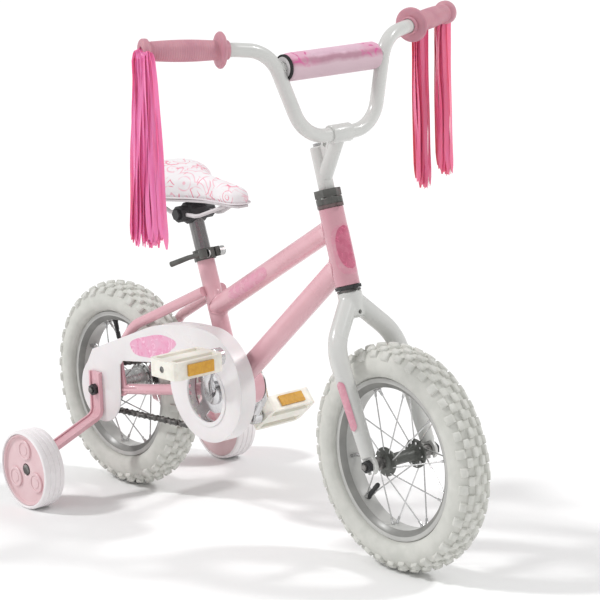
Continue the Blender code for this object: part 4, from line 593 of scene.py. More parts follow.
def makeWear():
    # Convex edges, broken up by noise
    group, given, result = shaderGroup("EdgeWear", [("Vector", "Vector"), ("Scale", "Float")],
                                       [("Mask", "Float")])
    edges = group.nodes.new("ShaderNodeNewGeometry")
    worn = rangeInto(group, edges.outputs["Pointiness"], 0.53, 0.60)
    noise = noiseInto(group, given.outputs["Vector"], given.outputs["Scale"], 3.0)
    broken = rangeInto(group, noise, 0.45, 0.60)
    group.links.new(mathInto(group, "MULTIPLY", worn, broken), result.inputs["Mask"])
    return group


def makeSwirls():
    # Generic curls: broken rings round scattered centres
    group, given, result = shaderGroup("Swirls", [("Vector", "Vector"), ("Scale", "Float"),
                                                  ("Rings", "Float")], [("Mask", "Float")])
    cells = group.nodes.new("ShaderNodeTexVoronoi")
    group.links.new(given.outputs["Vector"], cells.inputs["Vector"])
    group.links.new(given.outputs["Scale"], cells.inputs["Scale"])
    noise = noiseInto(group, given.outputs["Vector"], given.outputs["Scale"], 2.0)
    distance = mathInto(group, "ADD", cells.outputs["Distance"], mathInto(group, "MULTIPLY", noise, 0.30))
    waves = mathInto(group, "SINE", mathInto(group, "MULTIPLY", distance, given.outputs["Rings"]), 0.0)
    lines = rangeInto(group, waves, 0.60, 0.90)
    kept = rangeInto(group, noise, 0.48, 0.54)
    group.links.new(mathInto(group, "MULTIPLY", lines, kept), result.inputs["Mask"])
    return group


def groupNode(tree, group, vector, **values):
    node = tree.nodes.new("ShaderNodeGroup")
    node.node_tree = group
    tree.links.new(vector, node.inputs["Vector"])
    for name, value in values.items():
        node.inputs[name].default_value = value
    return node.outputs[0]


def blendColours(tree, mask, first, second):
    mix = tree.nodes.new("ShaderNodeMix")
    mix.data_type = "RGBA"
    tree.links.new(mask, mix.inputs["Factor"])
    for name, value in ((6, first), (7, second)):
        if isinstance(value, tuple):
            mix.inputs[name].default_value = (*value, 1.0)
        else:
            tree.links.new(value, mix.inputs[name])
    return mix.outputs[2]


def makeLook(name, base, shade, rough, patch=25.0, grain=400.0, depth=0.00004, stretch=None, worn=None,
             weave=False, prints=(), **constants):
    # Two colours in soft patches, then prints and worn edges; rough is the range of roughness
    material = bpy.data.materials.new(name)
    material.use_nodes = True
    tree = material.node_tree
    shader = tree.nodes["Principled BSDF"]
    coordinates = tree.nodes.new("ShaderNodeTexCoord").outputs["Object"]
    vector = coordinates
    if stretch:
        mapping = tree.nodes.new("ShaderNodeMapping")
        mapping.inputs["Scale"].default_value = stretch
        tree.links.new(coordinates, mapping.inputs["Vector"])
        vector = mapping.outputs["Vector"]
    mottle = groupNode(tree, groups["mottle"], vector, Scale=patch)
    colour = blendColours(tree, mottle, base, shade)
    for scale, rings, tint in prints:
        swirls = groupNode(tree, groups["swirls"], coordinates, Scale=scale, Rings=rings)
        colour = blendColours(tree, swirls, colour, tint)
    if worn:
        wear = groupNode(tree, groups["wear"], coordinates, Scale=90.0)
        colour = blendColours(tree, wear, colour, worn)
    tree.links.new(colour, shader.inputs["Base Color"])
    tree.links.new(rangeInto(tree, mottle, 0.0, 1.0, *rough), shader.inputs["Roughness"])
    relief = groups["weave"] if weave else groups["grain"]
    tree.links.new(groupNode(tree, relief, vector, Scale=grain, Height=depth), shader.inputs["Normal"])
    for socket, value in constants.items():
        shader.inputs[socket.replace("_", " ")].default_value = value
    return material


# Each finish: material name, colour, patch colour, range of roughness, and other settings.
# Colours are linear, as the shader takes them.
enamel = {"grain": 220.0, "depth": 0.00003, "Coat_Weight": 0.5, "Coat_Roughness": 0.08}
castGrey = {"patch": 70.0, "grain": 900.0, "depth": 0.00006}
ribbon = {"patch": 60.0, "stretch": (4, 4, 0.2), "grain": 120.0, "depth": 0.0003, "Coat_Weight": 0.3,
          "Subsurface_Weight": 0.2, "Subsurface_Scale": 0.006}
softPrint = {"patch": 120.0, "prints": ((70.0, 22.0, (0.66, 0.28, 0.36)),), "Coat_Weight": 0.5}
foam = {"patch": 120.0, "grain": 1500.0, "depth": 0.0004}
finishTable = {
    "pink": ("PinkEnamel", (0.745, 0.43, 0.48), (0.71, 0.395, 0.445), (0.20, 0.30), enamel),
    # The darker copy of the pink enamel is painted shade, used on the head tube
    "pinkShaded": ("ShadedPinkEnamel", (0.61, 0.325, 0.375), (0.57, 0.285, 0.335), (0.20, 0.30), enamel),
    "white": ("WhiteEnamel", (0.62, 0.62, 0.60), (0.585, 0.59, 0.57), (0.22, 0.34),
              {"grain": 220.0, "depth": 0.00003, "Coat_Weight": 0.4, "Coat_Roughness": 0.10}),
    "headset": ("GreyHeadset", (0.125, 0.126, 0.118), (0.088, 0.088, 0.082), (0.34, 0.50),
                {**castGrey, "Metallic": 0.4}),
    "cup": ("RoseGreyCup", (0.150, 0.105, 0.105), (0.115, 0.080, 0.080), (0.34, 0.50), castGrey),
    "tyre": ("PaleTyreRubber", (0.63, 0.63, 0.59), (0.57, 0.575, 0.535), (0.60, 0.78),
             {"patch": 60.0, "grain": 900.0, "depth": 0.00012, "worn": (0.70, 0.70, 0.67)}),
    "rim": ("GreyWhiteRim", (0.51, 0.51, 0.49), (0.46, 0.46, 0.445), (0.28, 0.42),
            {"patch": 40.0, "depth": 0.00003}),
    # Painted shade for the rim's sloping side just inside the tyre
    "rimShade": ("ShadedRimEdge", (0.25, 0.25, 0.235), (0.20, 0.20, 0.19), (0.30, 0.44),
                 {"patch": 40.0, "depth": 0.00003}),
    "hubGrey": ("GreyHub", (0.125, 0.130, 0.120), (0.090, 0.094, 0.085), (0.34, 0.50),
                {"patch": 80.0, "Metallic": 0.3}),
    "steel": ("BrushedSteel", (0.56, 0.56, 0.55), (0.44, 0.44, 0.44), (0.22, 0.38),
              {"patch": 60.0, "grain": 700.0, "stretch": (1, 6, 1), "Metallic": 1.0}),
    "chrome": ("Chrome", (0.74, 0.74, 0.75), (0.66, 0.66, 0.67), (0.18, 0.28),
               {"patch": 50.0, "depth": 0.00001, "Metallic": 1.0}),
    "spoke": ("SpokeWire", (0.66, 0.66, 0.66), (0.50, 0.50, 0.50), (0.18, 0.30),
              {"patch": 80.0, "Metallic": 1.0}),
    "dark": ("DarkSteel", (0.085, 0.083, 0.080), (0.14, 0.135, 0.13), (0.30, 0.50),
             {"patch": 80.0, "Metallic": 0.8, "worn": (0.32, 0.31, 0.30)}),
    "post": ("SatinPost", (0.26, 0.25, 0.25), (0.20, 0.195, 0.195), (0.24, 0.36),
             {"patch": 60.0, "grain": 600.0, "stretch": (4, 4, 0.5), "Metallic": 1.0}),
    "black": ("BlackPlastic", (0.022, 0.022, 0.024), (0.035, 0.035, 0.037), (0.38, 0.55),
              {"patch": 60.0, "grain": 1100.0, "depth": 0.00008}),
    "grip": ("PinkGripRubber", (0.56, 0.27, 0.32), (0.51, 0.23, 0.285), (0.48, 0.62),
             {"patch": 50.0, "grain": 1200.0, "depth": 0.00010, "Subsurface_Weight": 0.08,
              "Subsurface_Scale": 0.004}),
    "foam": ("BlackFoam", (0.014, 0.013, 0.015), (0.03, 0.03, 0.03), (0.85, 0.95), foam),
    "foamPale": ("PaleFoam", (0.60, 0.58, 0.585), (0.54, 0.52, 0.525), (0.85, 0.95), foam),
    "padFabric": ("PadFabric", (0.76, 0.55, 0.64), (0.70, 0.47, 0.57), (0.55, 0.70),
                  {"weave": True, "grain": 420.0, "depth": 0.00010}),
    "film": ("StreamerFilm", (0.96, 0.17, 0.33), (0.88, 0.12, 0.26), (0.24, 0.40), ribbon),
    "filmPale": ("StreamerFilmPale", (0.97, 0.21, 0.46), (0.90, 0.14, 0.37), (0.24, 0.40), ribbon),
    "vinyl": ("SaddleVinyl", (0.86, 0.84, 0.85), (0.82, 0.79, 0.81), (0.36, 0.50),
              {"patch": 30.0, "grain": 900.0, "depth": 0.00014,
               "prints": ((30.0, 30.0, (0.84, 0.50, 0.57)), (42.0, 24.0, (0.80, 0.26, 0.36)))}),
    "piping": ("SaddlePiping", (0.80, 0.77, 0.78), (0.72, 0.66, 0.69), (0.40, 0.55), {}),
    "panPale": ("PalePan", (0.66, 0.63, 0.64), (0.60, 0.57, 0.58), (0.45, 0.60),
                {"patch": 50.0, "grain": 900.0, "depth": 0.00008}),
    "guard": ("GuardPlastic", (0.82, 0.79, 0.795), (0.78, 0.75, 0.755), (0.26, 0.40),
              {"patch": 18.0, "grain": 700.0, "depth": 0.00005, "Subsurface_Weight": 0.05,
               "Subsurface_Scale": 0.004}),
    "motif": ("PinkMotif", (0.80, 0.32, 0.50), (0.78, 0.42, 0.57), (0.25, 0.35),
              {"patch": 90.0, "prints": ((60.0, 20.0, (0.90, 0.55, 0.70)),)}),
    "decal": ("DeepPinkMotif", (0.47, 0.085, 0.165), (0.56, 0.15, 0.235), (0.20, 0.30),
              {"patch": 70.0, "prints": ((190.0, 9.0, (0.66, 0.15, 0.26)),), "Coat_Weight": 0.5}),
    "softDecal": ("SoftPinkMotif", (0.60, 0.245, 0.32), (0.62, 0.31, 0.37), (0.20, 0.30), softPrint),
    "tubeDecal": ("TubePinkMotif", (0.72, 0.30, 0.42), (0.70, 0.36, 0.44), (0.20, 0.30), softPrint),
    "pedal": ("PedalPlastic", (0.88, 0.86, 0.78), (0.85, 0.83, 0.75), (0.34, 0.50),
              {"patch": 50.0, "grain": 900.0, "depth": 0.00010, "worn": (0.80, 0.78, 0.70),
               "Subsurface_Weight": 0.08, "Subsurface_Scale": 0.004}),
    "amber": ("AmberReflector", (0.78, 0.43, 0.050), (0.68, 0.33, 0.03), (0.26, 0.36),
              {"patch": 220.0, "weave": True, "grain": 260.0, "depth": 0.0004, "Coat_Weight": 0.2}),
    "trainerPink": ("TrainerPlastic", (0.76, 0.56, 0.58), (0.73, 0.51, 0.535), (0.30, 0.44),
                    {"patch": 40.0, "grain": 800.0, "depth": 0.00006}),
    "trainerTread": ("TrainerTread", (0.90, 0.87, 0.88), (0.86, 0.83, 0.84), (0.50, 0.66),
                     {"patch": 60.0, "grain": 900.0, "depth": 0.00010, "worn": (0.80, 0.77, 0.78)}),
    "floor": ("PaleFloor", (0.93, 0.93, 0.93), (0.925, 0.925, 0.925), (0.80, 0.85),
              {"patch": 2.0, "depth": 0.0}),
}


# Wheels
tyreSizes = {"width": 0.0550, "belly": 0.1260, "bead": (0.0142, 0.0150, 0.0125), "edge": 0.0007,
             "foot": (0.0008, 0.0146), "knobHeight": 0.0046, "knobPitches": 38}
# Each knob's length, width and height
knobSizes = {"crown": (0.0150, 0.0080, 0.0046), "mid": (0.0140, 0.0086, 0.0045),
             "edge": (0.0135, 0.0110, 0.0042), "longEdge": (0.0135, 0.0145, 0.0040)}
rimSizes = {"inner": 0.0970, "floor": 0.1039, "lip": 0.1110, "width": 0.0350, "wall": 0.0022,
            "shoulder": 0.1046, "edge": 0.1010}
hubSizes = {"front": {"flange": 0.0200, "barrel": 0.0085, "offset": 0.0270, "finish": "hubGrey",
                      "slot": "dark_steel"},
            "rear": {"flange": 0.0265, "barrel": 0.0180, "offset": 0.0265, "finish": "steel",
                     "slot": "steel"}}
hubHalf = 0.0330
spokeSizes = {"count": 20, "radius": 0.0010, "lead": math.radians(27), "elbow": 0.0022}
valveSizes = {"radius": 0.0036, "length": 0.0300, "front": 15 / 24, "rear": 7 / 24}  # share of a turn
spokeSeat = rimSizes["inner"] - 0.0006


def wheelKnob(length, width, height):
    # A tapered block whose foot sits in the carcass; Z points out of the tyre
    foot, taper = -0.0012, 0.78
    bm = bmesh.new()
    bmesh.ops.create_cube(bm, size=1.0)
    for vert in bm.verts:
        top = vert.co.z > 0
        draw = taper if top else 1.0
        vert.co = Vector((vert.co.x * length * draw, vert.co.y * width * draw, height if top else foot))
    return bevelled(makePiece("Knob", bm), 0.0007, 2)


def carcassPoint(turn):
    # Section of the tyre: 0 at the crown, a quarter turn at the belly
    belly = tyreSizes["belly"]
    depth = wheelSizes["radius"] - tyreSizes["knobHeight"] - belly
    return belly + depth * math.cos(turn), tyreSizes["width"] / 2 * math.sin(turn)


def knobPlace(centre, around, turn, side):
    radius, across = carcassPoint(turn)
    out = Matrix.Rotation(-side * turn, 4, "X")
    place = Matrix.Translation(Vector((0, side * across, radius))) @ out
    return Matrix.Translation(centre) @ Matrix.Rotation(around, 4, "Y") @ place


def makeTyre(end, centre):
    drop, low, high = tyreSizes["bead"]
    footRise, footHalf = tyreSizes["foot"]
    side = [carcassPoint(math.pi / 2 * k / 12) for k in range(13)]
    side += [(tyreSizes["belly"] - drop * math.sin(t), low + high * math.cos(t))
             for t in [math.pi / 2 * k / 8 for k in range(1, 9)]]
    side[17] = (side[17][0], side[17][1] + tyreSizes["edge"])
    side.append((rimSizes["floor"] + footRise, footHalf))
    profile = [(r, y) for r, y in side[1:]][::-1] + [(r, -y) for r, y in side]
    pieces = [turned("TyreCarcass", ["tyre"], profile, 120, Matrix.Translation(centre))]
    pitches = tyreSizes["knobPitches"]
    step = math.tau / pitches / 2
    places = {kind: [] for kind in knobSizes}
    for k in range(pitches):
        around = math.tau * k / pitches
        for way in (-1, 1):
            shift = around + (step if way > 0 else 0)
            places["crown"].append(knobPlace(centre, shift, 0.17, way))
            places["mid"].append(knobPlace(centre, shift + step, 0.50, way))
            outer = knobPlace(centre, shift, 0.88 - 0.06 * (k % 2), way)
            places["edge" if k % 2 else "longEdge"].append(outer)
    for kind, size in knobSizes.items():
        pieces.append(repeated("Knobs", wheelKnob(*size), places[kind], "tyre", 0.97))
    tyre = joined("tyre_" + end + "_look", pieces)
    return dressed(tyre, end + "_wheel", "tyre_rubber", "tyre_" + end)


def makeRim(end, centre):
    half, wall, lip, inner = rimSizes["width"] / 2, rimSizes["wall"], rimSizes["lip"], rimSizes["inner"]
    side = [(rimSizes["floor"], half - wall - 0.0006), (lip - 0.0020, half - wall),
            (lip - 0.0004, half - wall - 0.0004), (lip, half - wall * 0.6), (lip, half - 0.0006),
            (lip - 0.0008, half), (rimSizes["shoulder"], half), (rimSizes["edge"], half - 0.0022),
            (inner, half - 0.0065), (inner - 0.0004, half * 0.40), (inner - 0.0004, half * 0.15)]
    rim = turned("rim_" + end + "_look", ["rim", "rimShade"], mirroredProfile(side), 120,
                 Matrix.Translation(centre), 30)
    for face in rim.data.polygons:
        reach = math.hypot(face.center.x - centre.x, face.center.z - centre.z)
        if inner + 0.0008 < reach < rimSizes["shoulder"] - 0.0006:
            face.material_index = 1  # painted shade: the sloping side just inside the tyre is darker
    return dressed(rim, end + "_wheel", "rim_white", "rim_" + end)


def makeSpoke(side, flange, offset):
    # One spoke with its head and nipple, laced from the flange's hole to the rim
    hole = flange - 0.0042
    start = Vector((0, side * (offset - 0.0030), hole))
    elbow = Vector((0, side * (offset + 0.0026), hole))
    foot = Matrix.Rotation(side * spokeSizes["lead"], 3, "Y") @ Vector((0, 0, spokeSeat))
    foot += Vector((0, side * 0.0036, 0))
    path = roundedPath([start, elbow, foot], [spokeSizes["elbow"]], 5)
    bm = bmesh.new()
    sweepInto(bm, path, (spokeSizes["radius"], spokeSizes["radius"]), 8, Vector((1, 0, 0)))
    head = [(0, 0), (0.0020, 0), (0.0022, -side * 0.0008), (0, -side * 0.0014)]
    turnInto(bm, head, 10, Matrix.Translation(start))
    way = (foot - path[-2]).normalized()
    nipple = [(0, 0), (0.0016, 0), (0.0019, 0.0020), (0.0019, 0.0060), (0.0026, 0.0072),
              (0.0026, 0.0100), (0, 0.0100)]
    turnInto(bm, nipple, 8, Matrix.Translation(foot - way * nipple[-1][1]) @ aimed(way))
    return makePiece("Spoke", bm, ["spoke"])


def makeSpokedHub(end, centre):
    sizes = hubSizes[end]
    flange, barrel, offset = sizes["flange"], sizes["barrel"], sizes["offset"]
    bore = wheelSizes["axle"] + 0.0004
    nose = max(wheelSizes["cone"], barrel * 0.7)
    side = [(bore, hubHalf - 0.0010), (bore + 0.0015, hubHalf), (nose - 0.0008, hubHalf),
            (nose, hubHalf - 0.0008), (nose, offset + 0.0046), (nose + 0.0030, offset + 0.0018),
            (flange - 0.0008, offset + 0.0015), (flange, offset + 0.0007), (flange, offset - 0.0007),
            (flange - 0.0008, offset - 0.0015), (barrel + 0.0035, offset - 0.0018),
            (barrel + 0.0010, offset - 0.0045), (barrel, offset - 0.0090)]
    pieces = [turned("HubShell", [sizes["finish"]], mirroredProfile(side), 64,
                     Matrix.Translation(centre), 30)]
    perSide = spokeSizes["count"] // 2
    for way in (-1, 1):
        phase = math.pi / perSide * (way > 0)
        places = [Matrix.Translation(centre) @ Matrix.Rotation(phase + math.tau * k / perSide, 4, "Y")
                  for k in range(perSide)]
        pieces.append(repeated("Spokes", makeSpoke(way, flange, offset), places, "spoke"))
    hub = joined("hub_" + end + "_look", pieces)
    return dressed(hub, end + "_wheel", sizes["slot"], "hub_" + end)


def makeValve(end, centre):
    radius, length = valveSizes["radius"], valveSizes["length"]
    turn = math.tau * valveSizes[end]
    stem = radius * 0.72
    profile = [(0, spokeSeat), (0.0046, spokeSeat), (0.0046, spokeSeat - 0.0020),
               (radius, spokeSeat - 0.0050), (radius * 0.92, spokeSeat - length * 0.52),
               (stem, spokeSeat - length * 0.58), (stem, spokeSeat - length * 0.64),
               (radius, spokeSeat - length * 0.66)]
    for k in range(5):
        place = spokeSeat - length * (0.70 + 0.055 * k)
        profile += [(radius, place), (radius * 0.93, place - 0.0005)]
    profile += [(radius * 0.8, spokeSeat - length), (0, spokeSeat - length)]
    out = Matrix.Rotation(math.pi / 2 - turn, 4, "Y") @ Matrix.Rotation(math.pi / 2, 4, "X")
    valve = turned("valve_" + end + "_look", ["black"], profile, 24, Matrix.Translation(centre) @ out, 35)
    return dressed(valve, end + "_wheel", "black_plastic", "valve_" + end)


# Fork
def makeForkLeg(side):
    spread = Vector((0, side * forkSizes["legOffset"], 0))
    knee, foot = Vector(forkSizes["knee"]) + spread, forkFoot + spread
    tip = foot + (knee - foot).normalized() * 0.0104
    path = roundedPath([Vector((0, side * 0.0030, -0.0100)), knee, tip], [forkSizes["bend"]], 14)
    return swept("Leg", ["white"], path, forkSizes["leg"], 32, Vector((1, 0, 0)), steering)


def makeFork():
    steerer, offset, top = forkSizes["steerer"], forkSizes["legOffset"], headsetTop - 0.0024
    neck = [(0, -0.0360), (0.0110, -0.0360), (0.0134, -0.0330), (0.0150, -0.0230), (0.0168, -0.0110),
            (0.0168, 0), (steerer, 0), (steerer, top), (0, top)]
    body = turned("Fork", ["white"], neck, 48, upright)
    combined(body, [makeForkLeg(side) for side in (-1, 1)], "UNION")
    remeshed(body, 0.0016, 8)
    x, z = forkFoot.x, forkFoot.z
    slot = slotOutline(x, z, wheelSizes["axle"] + 2 * gap, 0.0300, "down")
    outline = hull(circle(0.0130, 40, x, z) + circle(0.0080, 24, x - 0.0052, z + 0.0245))
    tabs, cutters = [], []
    for side in (-1, 1):
        low, high = sorted(side * reach for reach in forkSizes["tab"])
        tabs.append(bevelled(plated("Tab", ["white"], outline, low, high, steering), 0.0007))
        cutters.append(plated("Slot", [], slot, side * offset - 0.0110, side * offset + 0.0110, steering))
    bore = rod(forkSizes["steererBore"], 0.0150, headsetTop + 0.001)
    cutters.append(turned("Bore", [], bore, 48, upright))
    hole = steering @ Matrix.Translation((0, 0, -0.0288)) @ Matrix.Rotation(-math.pi / 2, 4, "Z")
    cutters.append(turned("Hole", [], rod(0.0030, -0.0200, 0.0300), 24, hole))
    combined(body, tabs, "UNION")
    combined(body, cutters, "DIFFERENCE")
    body.name = "fork_look"
    return dressed(shaded(body, 40), "steering", "white_paint", "fork")


def makeForkMotifs():
    # A generic pink patch lies along the outer side of each leg
    knee = Vector(forkSizes["knee"])
    for side, label in ((-1, "right"), (1, "left")):
        spread = Vector((0, side * forkSizes["legOffset"], 0))
        top, low = (knee.lerp(forkFoot, share) + spread for share in (0.28, 0.70))
        patch = shellPatch("fork_motif_" + label, steering @ top, steering @ low, (0.0131, 0.0119),
                           (side * 80 - 30, side * 80 + 30), "softDecal")
        dressed(patch, "steering", "white_paint")


# Handlebar, on the steering's own axes
barSizes = {"radius": 0.0095, "reach": 0.0500, "rise": 0.2085, "bottomHalf": 0.0605, "lean": 0.0170,
            "shoulderHalf": 0.1005, "shoulderRise": 0.3260, "bend": 0.0500, "elbowHalf": 0.1480,
            "elbowBack": 0.0100, "elbowLift": 0.0095, "halfWidth": 0.2620,
            "backSweep": math.radians(18), "upSweep": math.radians(9)}
crossbarSizes = {"radius": 0.0080, "rise": 0.3030}
stemSizes = {"radius": 0.0109, "top": 0.1995, "armBase": 0.1560, "below": 0.0450}

barRadius = barSizes["radius"]
barFoot = Vector((barSizes["reach"], barSizes["bottomHalf"], barSizes["rise"]))
barShoulder = Vector((barSizes["reach"] + barSizes["lean"], barSizes["shoulderHalf"],
                      barSizes["shoulderRise"]))
barElbow = Vector((barSizes["reach"] + barSizes["lean"] - barSizes["elbowBack"], barSizes["elbowHalf"],
                   barSizes["shoulderRise"] + barSizes["elbowLift"]))
barEndRun = barSizes["halfWidth"] - barSizes["elbowHalf"]
barEnd = barElbow + Vector((-math.tan(barSizes["backSweep"]) * barEndRun, barEndRun,
                            math.tan(barSizes["upSweep"]) * barEndRun))
crossbarRise = crossbarSizes["rise"]
crossbarShare = (crossbarRise - barSizes["rise"]) / (barSizes["shoulderRise"] - barSizes["rise"])
barSpread = barSizes["shoulderHalf"] - barSizes["bottomHalf"]
crossbarHalf = barSizes["bottomHalf"] + barSpread * crossbarShare
crossbarReach = barSizes["reach"] + barSizes["lean"] * crossbarShare


def barPath():
    half = [barFoot, barShoulder, barElbow, barEnd]
    mirrored = [Vector((p.x, -p.y, p.z)) for p in reversed(half)]
    return roundedPath(mirrored + half, [barSizes["bend"]] * 6, 12)


def cutBar(item, room):
    radius = barRadius + room
    cutter = swept("Cutter", [], barPath(), (radius, radius), 32, place=steering)
    combined(item, [cutter], "DIFFERENCE")


def makeHandlebar():
    bar = swept("handlebar_look", ["white"], barPath(), (barRadius, barRadius), 32, place=steering)
    radius = crossbarSizes["radius"]
    ends = [Vector((crossbarReach, side * crossbarHalf, crossbarRise)) for side in (-1, 1)]
    combined(bar, [swept("Crossbar", ["white"], ends, (radius, radius), 28, place=steering)], "UNION")
    stem = makeStem()
    shoulder = (barShoulder - barFoot).normalized()
    way = steering.to_3x3()
    bm = bmesh.new()
    for side, end in zip((-1, 1), ends):
        axis = way @ Vector((shoulder.x, side * shoulder.y, shoulder.z))
        beadInto(bm, steering @ end, way @ Vector((0, -side, 0)), radius, steering @ end, axis,
                 barRadius, 0.0014)
    bar = joined("handlebar_look", [bar, stem, makePiece("Beads", bm, ["white"])])
    return dressed(bar, "steering", "white_paint", "handlebar")


def makeStem():
    radius, top, armBase = stemSizes["radius"], stemSizes["top"], stemSizes["armBase"]
    reach, rise = barSizes["reach"], barSizes["rise"]
    low = headsetTop - stemSizes["below"]
    profile = [(0, low), (radius - 0.0008, low), (radius, low + 0.0010), (radius, top - 0.0016),
               (radius - 0.0016, top), (0, top)]
    stem = turned("Stem", ["white"], profile, 40, upright)
    head = Vector((reach, 0, rise))
    arm = swept("Arm", ["white"], [Vector((0, 0, armBase)), head], (radius * 0.95, 0.0095), 32,
                sideways, steering)
    cradle = turned("Cradle", ["white"], rod(0.0125, -0.0170, 0.0170, 0.0008), 40,
                    steering @ Matrix.Translation(head))
    webTop = top - 0.0040
    outline = [(0, armBase), (reach, rise), (reach - 0.0040, rise + 0.0060), (0, webTop)]
    hole = circle(0.0036, 24, reach * 0.40, (rise + webTop) / 2 - 0.0025)
    web = plated("Web", ["white"], outline, -0.0040, 0.0040, steering, [hole])
    combined(stem, [arm, cradle, web], "UNION")
    return bevelled(stem, 0.0010, 3, 30)


# Grips
gripSizes = {"length": 0.1120, "flange": 0.0240, "end": 0.0165, "cap": 0.0060, "waist": 0.0125,
             "swell": 0.0017, "ribs": 28, "mouth": 0.0060}


def gripPlace(side):
    end = Vector((barEnd.x, side * barEnd.y, barEnd.z))
    elbow = Vector((barElbow.x, side * barElbow.y, barElbow.z))
    out = (end - elbow).normalized()
    return steering @ Matrix.Translation(end + out * (gap - gripSizes["length"])) @ aimed(out)


def makeGrip(label, side):
    # Y runs out along the grip, from its inner end
    bore, waist, flange = barRadius + 2 * gap, gripSizes["waist"], gripSizes["flange"]
    length, end, mouth, ribs = (gripSizes[key] for key in ("length", "end", "mouth", "ribs"))
    cap = length + gripSizes["cap"]
    profile = [(bore, 0), (waist - 0.0008, 0), (waist, 0.0008), (waist, 0.0072),
               (flange - 0.0020, 0.0080), (flange, 0.0100), (flange, 0.0122),
               (flange - 0.0015, 0.0140), (waist + 0.0010, 0.0146)]
    for k in range(ribs):
        share = (k + 0.5) / ribs
        place = 0.0165 + (length - 0.0245) * share
        body = waist + gripSizes["swell"] * math.sin(math.pi * share) + 0.0002
        profile += [(body - 0.0003, place - 0.0012), (body, place - 0.0006), (body, place + 0.0006),
                    (body - 0.0003, place + 0.0012)]
    profile += [(waist, length - 0.0050), (end - 0.0004, length - 0.0022), (end, length),
                (end - 0.0002, length + 0.0042), (end - 0.0018, cap), (mouth + 0.0006, cap),
                (mouth, cap - 0.0006), (mouth, length), (bore, length)]
    grip = turned("grip_" + label + "_look", ["grip"], profile, 48, gripPlace(side), 50)
    return dressed(grip, "steering", "grip_rubber", "grip_" + label)


# Streamers: each strand's place ahead, half width and depth, length and inboard lean. The ribbons
# bend over at the knee and hang from the lower point, at shares of that place and of that width.
streamerSizes = {
    "right": {"finish": "filmPale", "count": 56, "knee": (0.80, 0.52), "lower": (0.84, 0.60),
              "fall": 0.0380, "swing": 0.0080,
              "strands": ((0.0190, 0.0300, 0.0070, 0.2510, 0.20),)},
    "left": {"finish": "film", "count": 22, "knee": (0.45, 0.45), "lower": (1.0, 1.0),
             "fall": 0.0220, "swing": 0.0,
             "strands": ((-0.0175, 0.0165, 0.0100, 0.2370, 0.0),
                         (-0.0400, 0.0105, 0.0090, 0.2555, 0.555))},
}
ribbonSizes = {"half": 0.0039, "thickness": 0.00016, "steps": 26, "kneeOut": 0.0090, "bunch": 0.0034,
               "bends": (0.0060, 0.0200), "ragged": 0.060, "wave": 0.0007, "curl": 0.0006,
               "twist": 0.35}


def ribbonFrames(path, steps):
    # Even steps along the path, and its length
    lengths = runLengths(path)
    frames = []
    for step in range(steps + 1):
        reach = lengths[-1] * step / steps
        j = min(max(i for i in range(len(lengths)) if lengths[i] <= reach + 1e-9), len(path) - 2)
        share = (reach - lengths[j]) / (lengths[j + 1] - lengths[j])
        frames.append((path[j].lerp(path[j + 1], share), (path[j + 1] - path[j]).normalized()))
    return frames, lengths[-1]


def ribbonRings(frames, flat, number):
    up, last = Vector((0, 0, 1)), len(frames) - 1
    thickness = ribbonSizes["thickness"]
    rings = []
    for i, (point, way) in enumerate(frames):
        wide = flat - way * flat.dot(way)
        wide = (wide + (up - way * up.dot(way)) * 0.15).normalized()
        wide.rotate(Matrix.Rotation(ribbonSizes["twist"] * math.sin(i * 0.16 + number), 3, way))
        thin = wide.cross(way)
        wave = ribbonSizes["wave"] * math.sin(i * 0.42 + number * 1.7) * min(1.0, i / 5)
        point = point + (wide + thin) * wave
        curl = thin * ribbonSizes["curl"] * math.sin(i * 0.3 + number)
        reach = wide * ribbonSizes["half"] * min(1.0, 0.3 + 0.5 * (last - i))  # narrows to its tip
        rings.append([point - reach, point + curl - thin * thickness / 2, point + reach,
                      point + reach + thin * thickness, point + curl + thin * thickness / 2,
                      point - reach + thin * thickness])
    return rings


def makeStreamer(label, side):
    # Ribbons fan out of the grip's end, bend over and hang straight down
    sizes = streamerSizes[label]
    place = gripPlace(side)
    mouth = place @ Vector((0, gripSizes["length"] + gripSizes["cap"], 0))
    out = (place.to_3x3() @ sideways).normalized()
    up, ahead, inward = Vector((0, 0, 1)), Vector((1, 0, 0)), Vector((0, -side, 0))
    root = mouth + out * ribbonSizes["kneeOut"]
    bm = bmesh.new()
    total, number = 0.0, 0
    for centre, radius, depth, length, lean in sizes["strands"]:
        along = ahead + inward * lean * math.copysign(1, centre)
        for k in range(sizes["count"]):
            turn = math.tau * 0.618034 * k + centre
            spread = math.sqrt((k + 0.5) / sizes["count"])
            knee, lower, foot = [
                along * (centre * share + radius * spread * math.cos(turn) * width)
                + out * depth * spread * math.sin(turn) * width
                for share, width in (sizes["knee"], sizes["lower"], (1.0, 1.0))]
            around = ahead * math.cos(turn) + up * math.sin(turn)
            start = mouth - out * 0.0030 + around * ribbonSizes["bunch"] * spread
            drop = length * (1.0 - ribbonSizes["ragged"] * ((k * 7) % 5) / 4)
            corners = [start, root + knee, root + lower - up * sizes["fall"],
                       root + foot + out * sizes["swing"] - up * drop]
            path = roundedPath(corners, ribbonSizes["bends"], 6)
            frames, run = ribbonFrames(path, ribbonSizes["steps"])
            total, number = total + run, number + 1
            flat = (ahead * -radius * math.sin(turn) + out * depth * math.cos(turn)).normalized()
            loftInto(bm, ribbonRings(frames, flat, k))
    ribbons = makePiece("streamer_" + label + "_look", bm, [sizes["finish"]], 60)
    dressed(ribbons, "steering", "streamer_film", "streamer_" + label)
    return ribbons


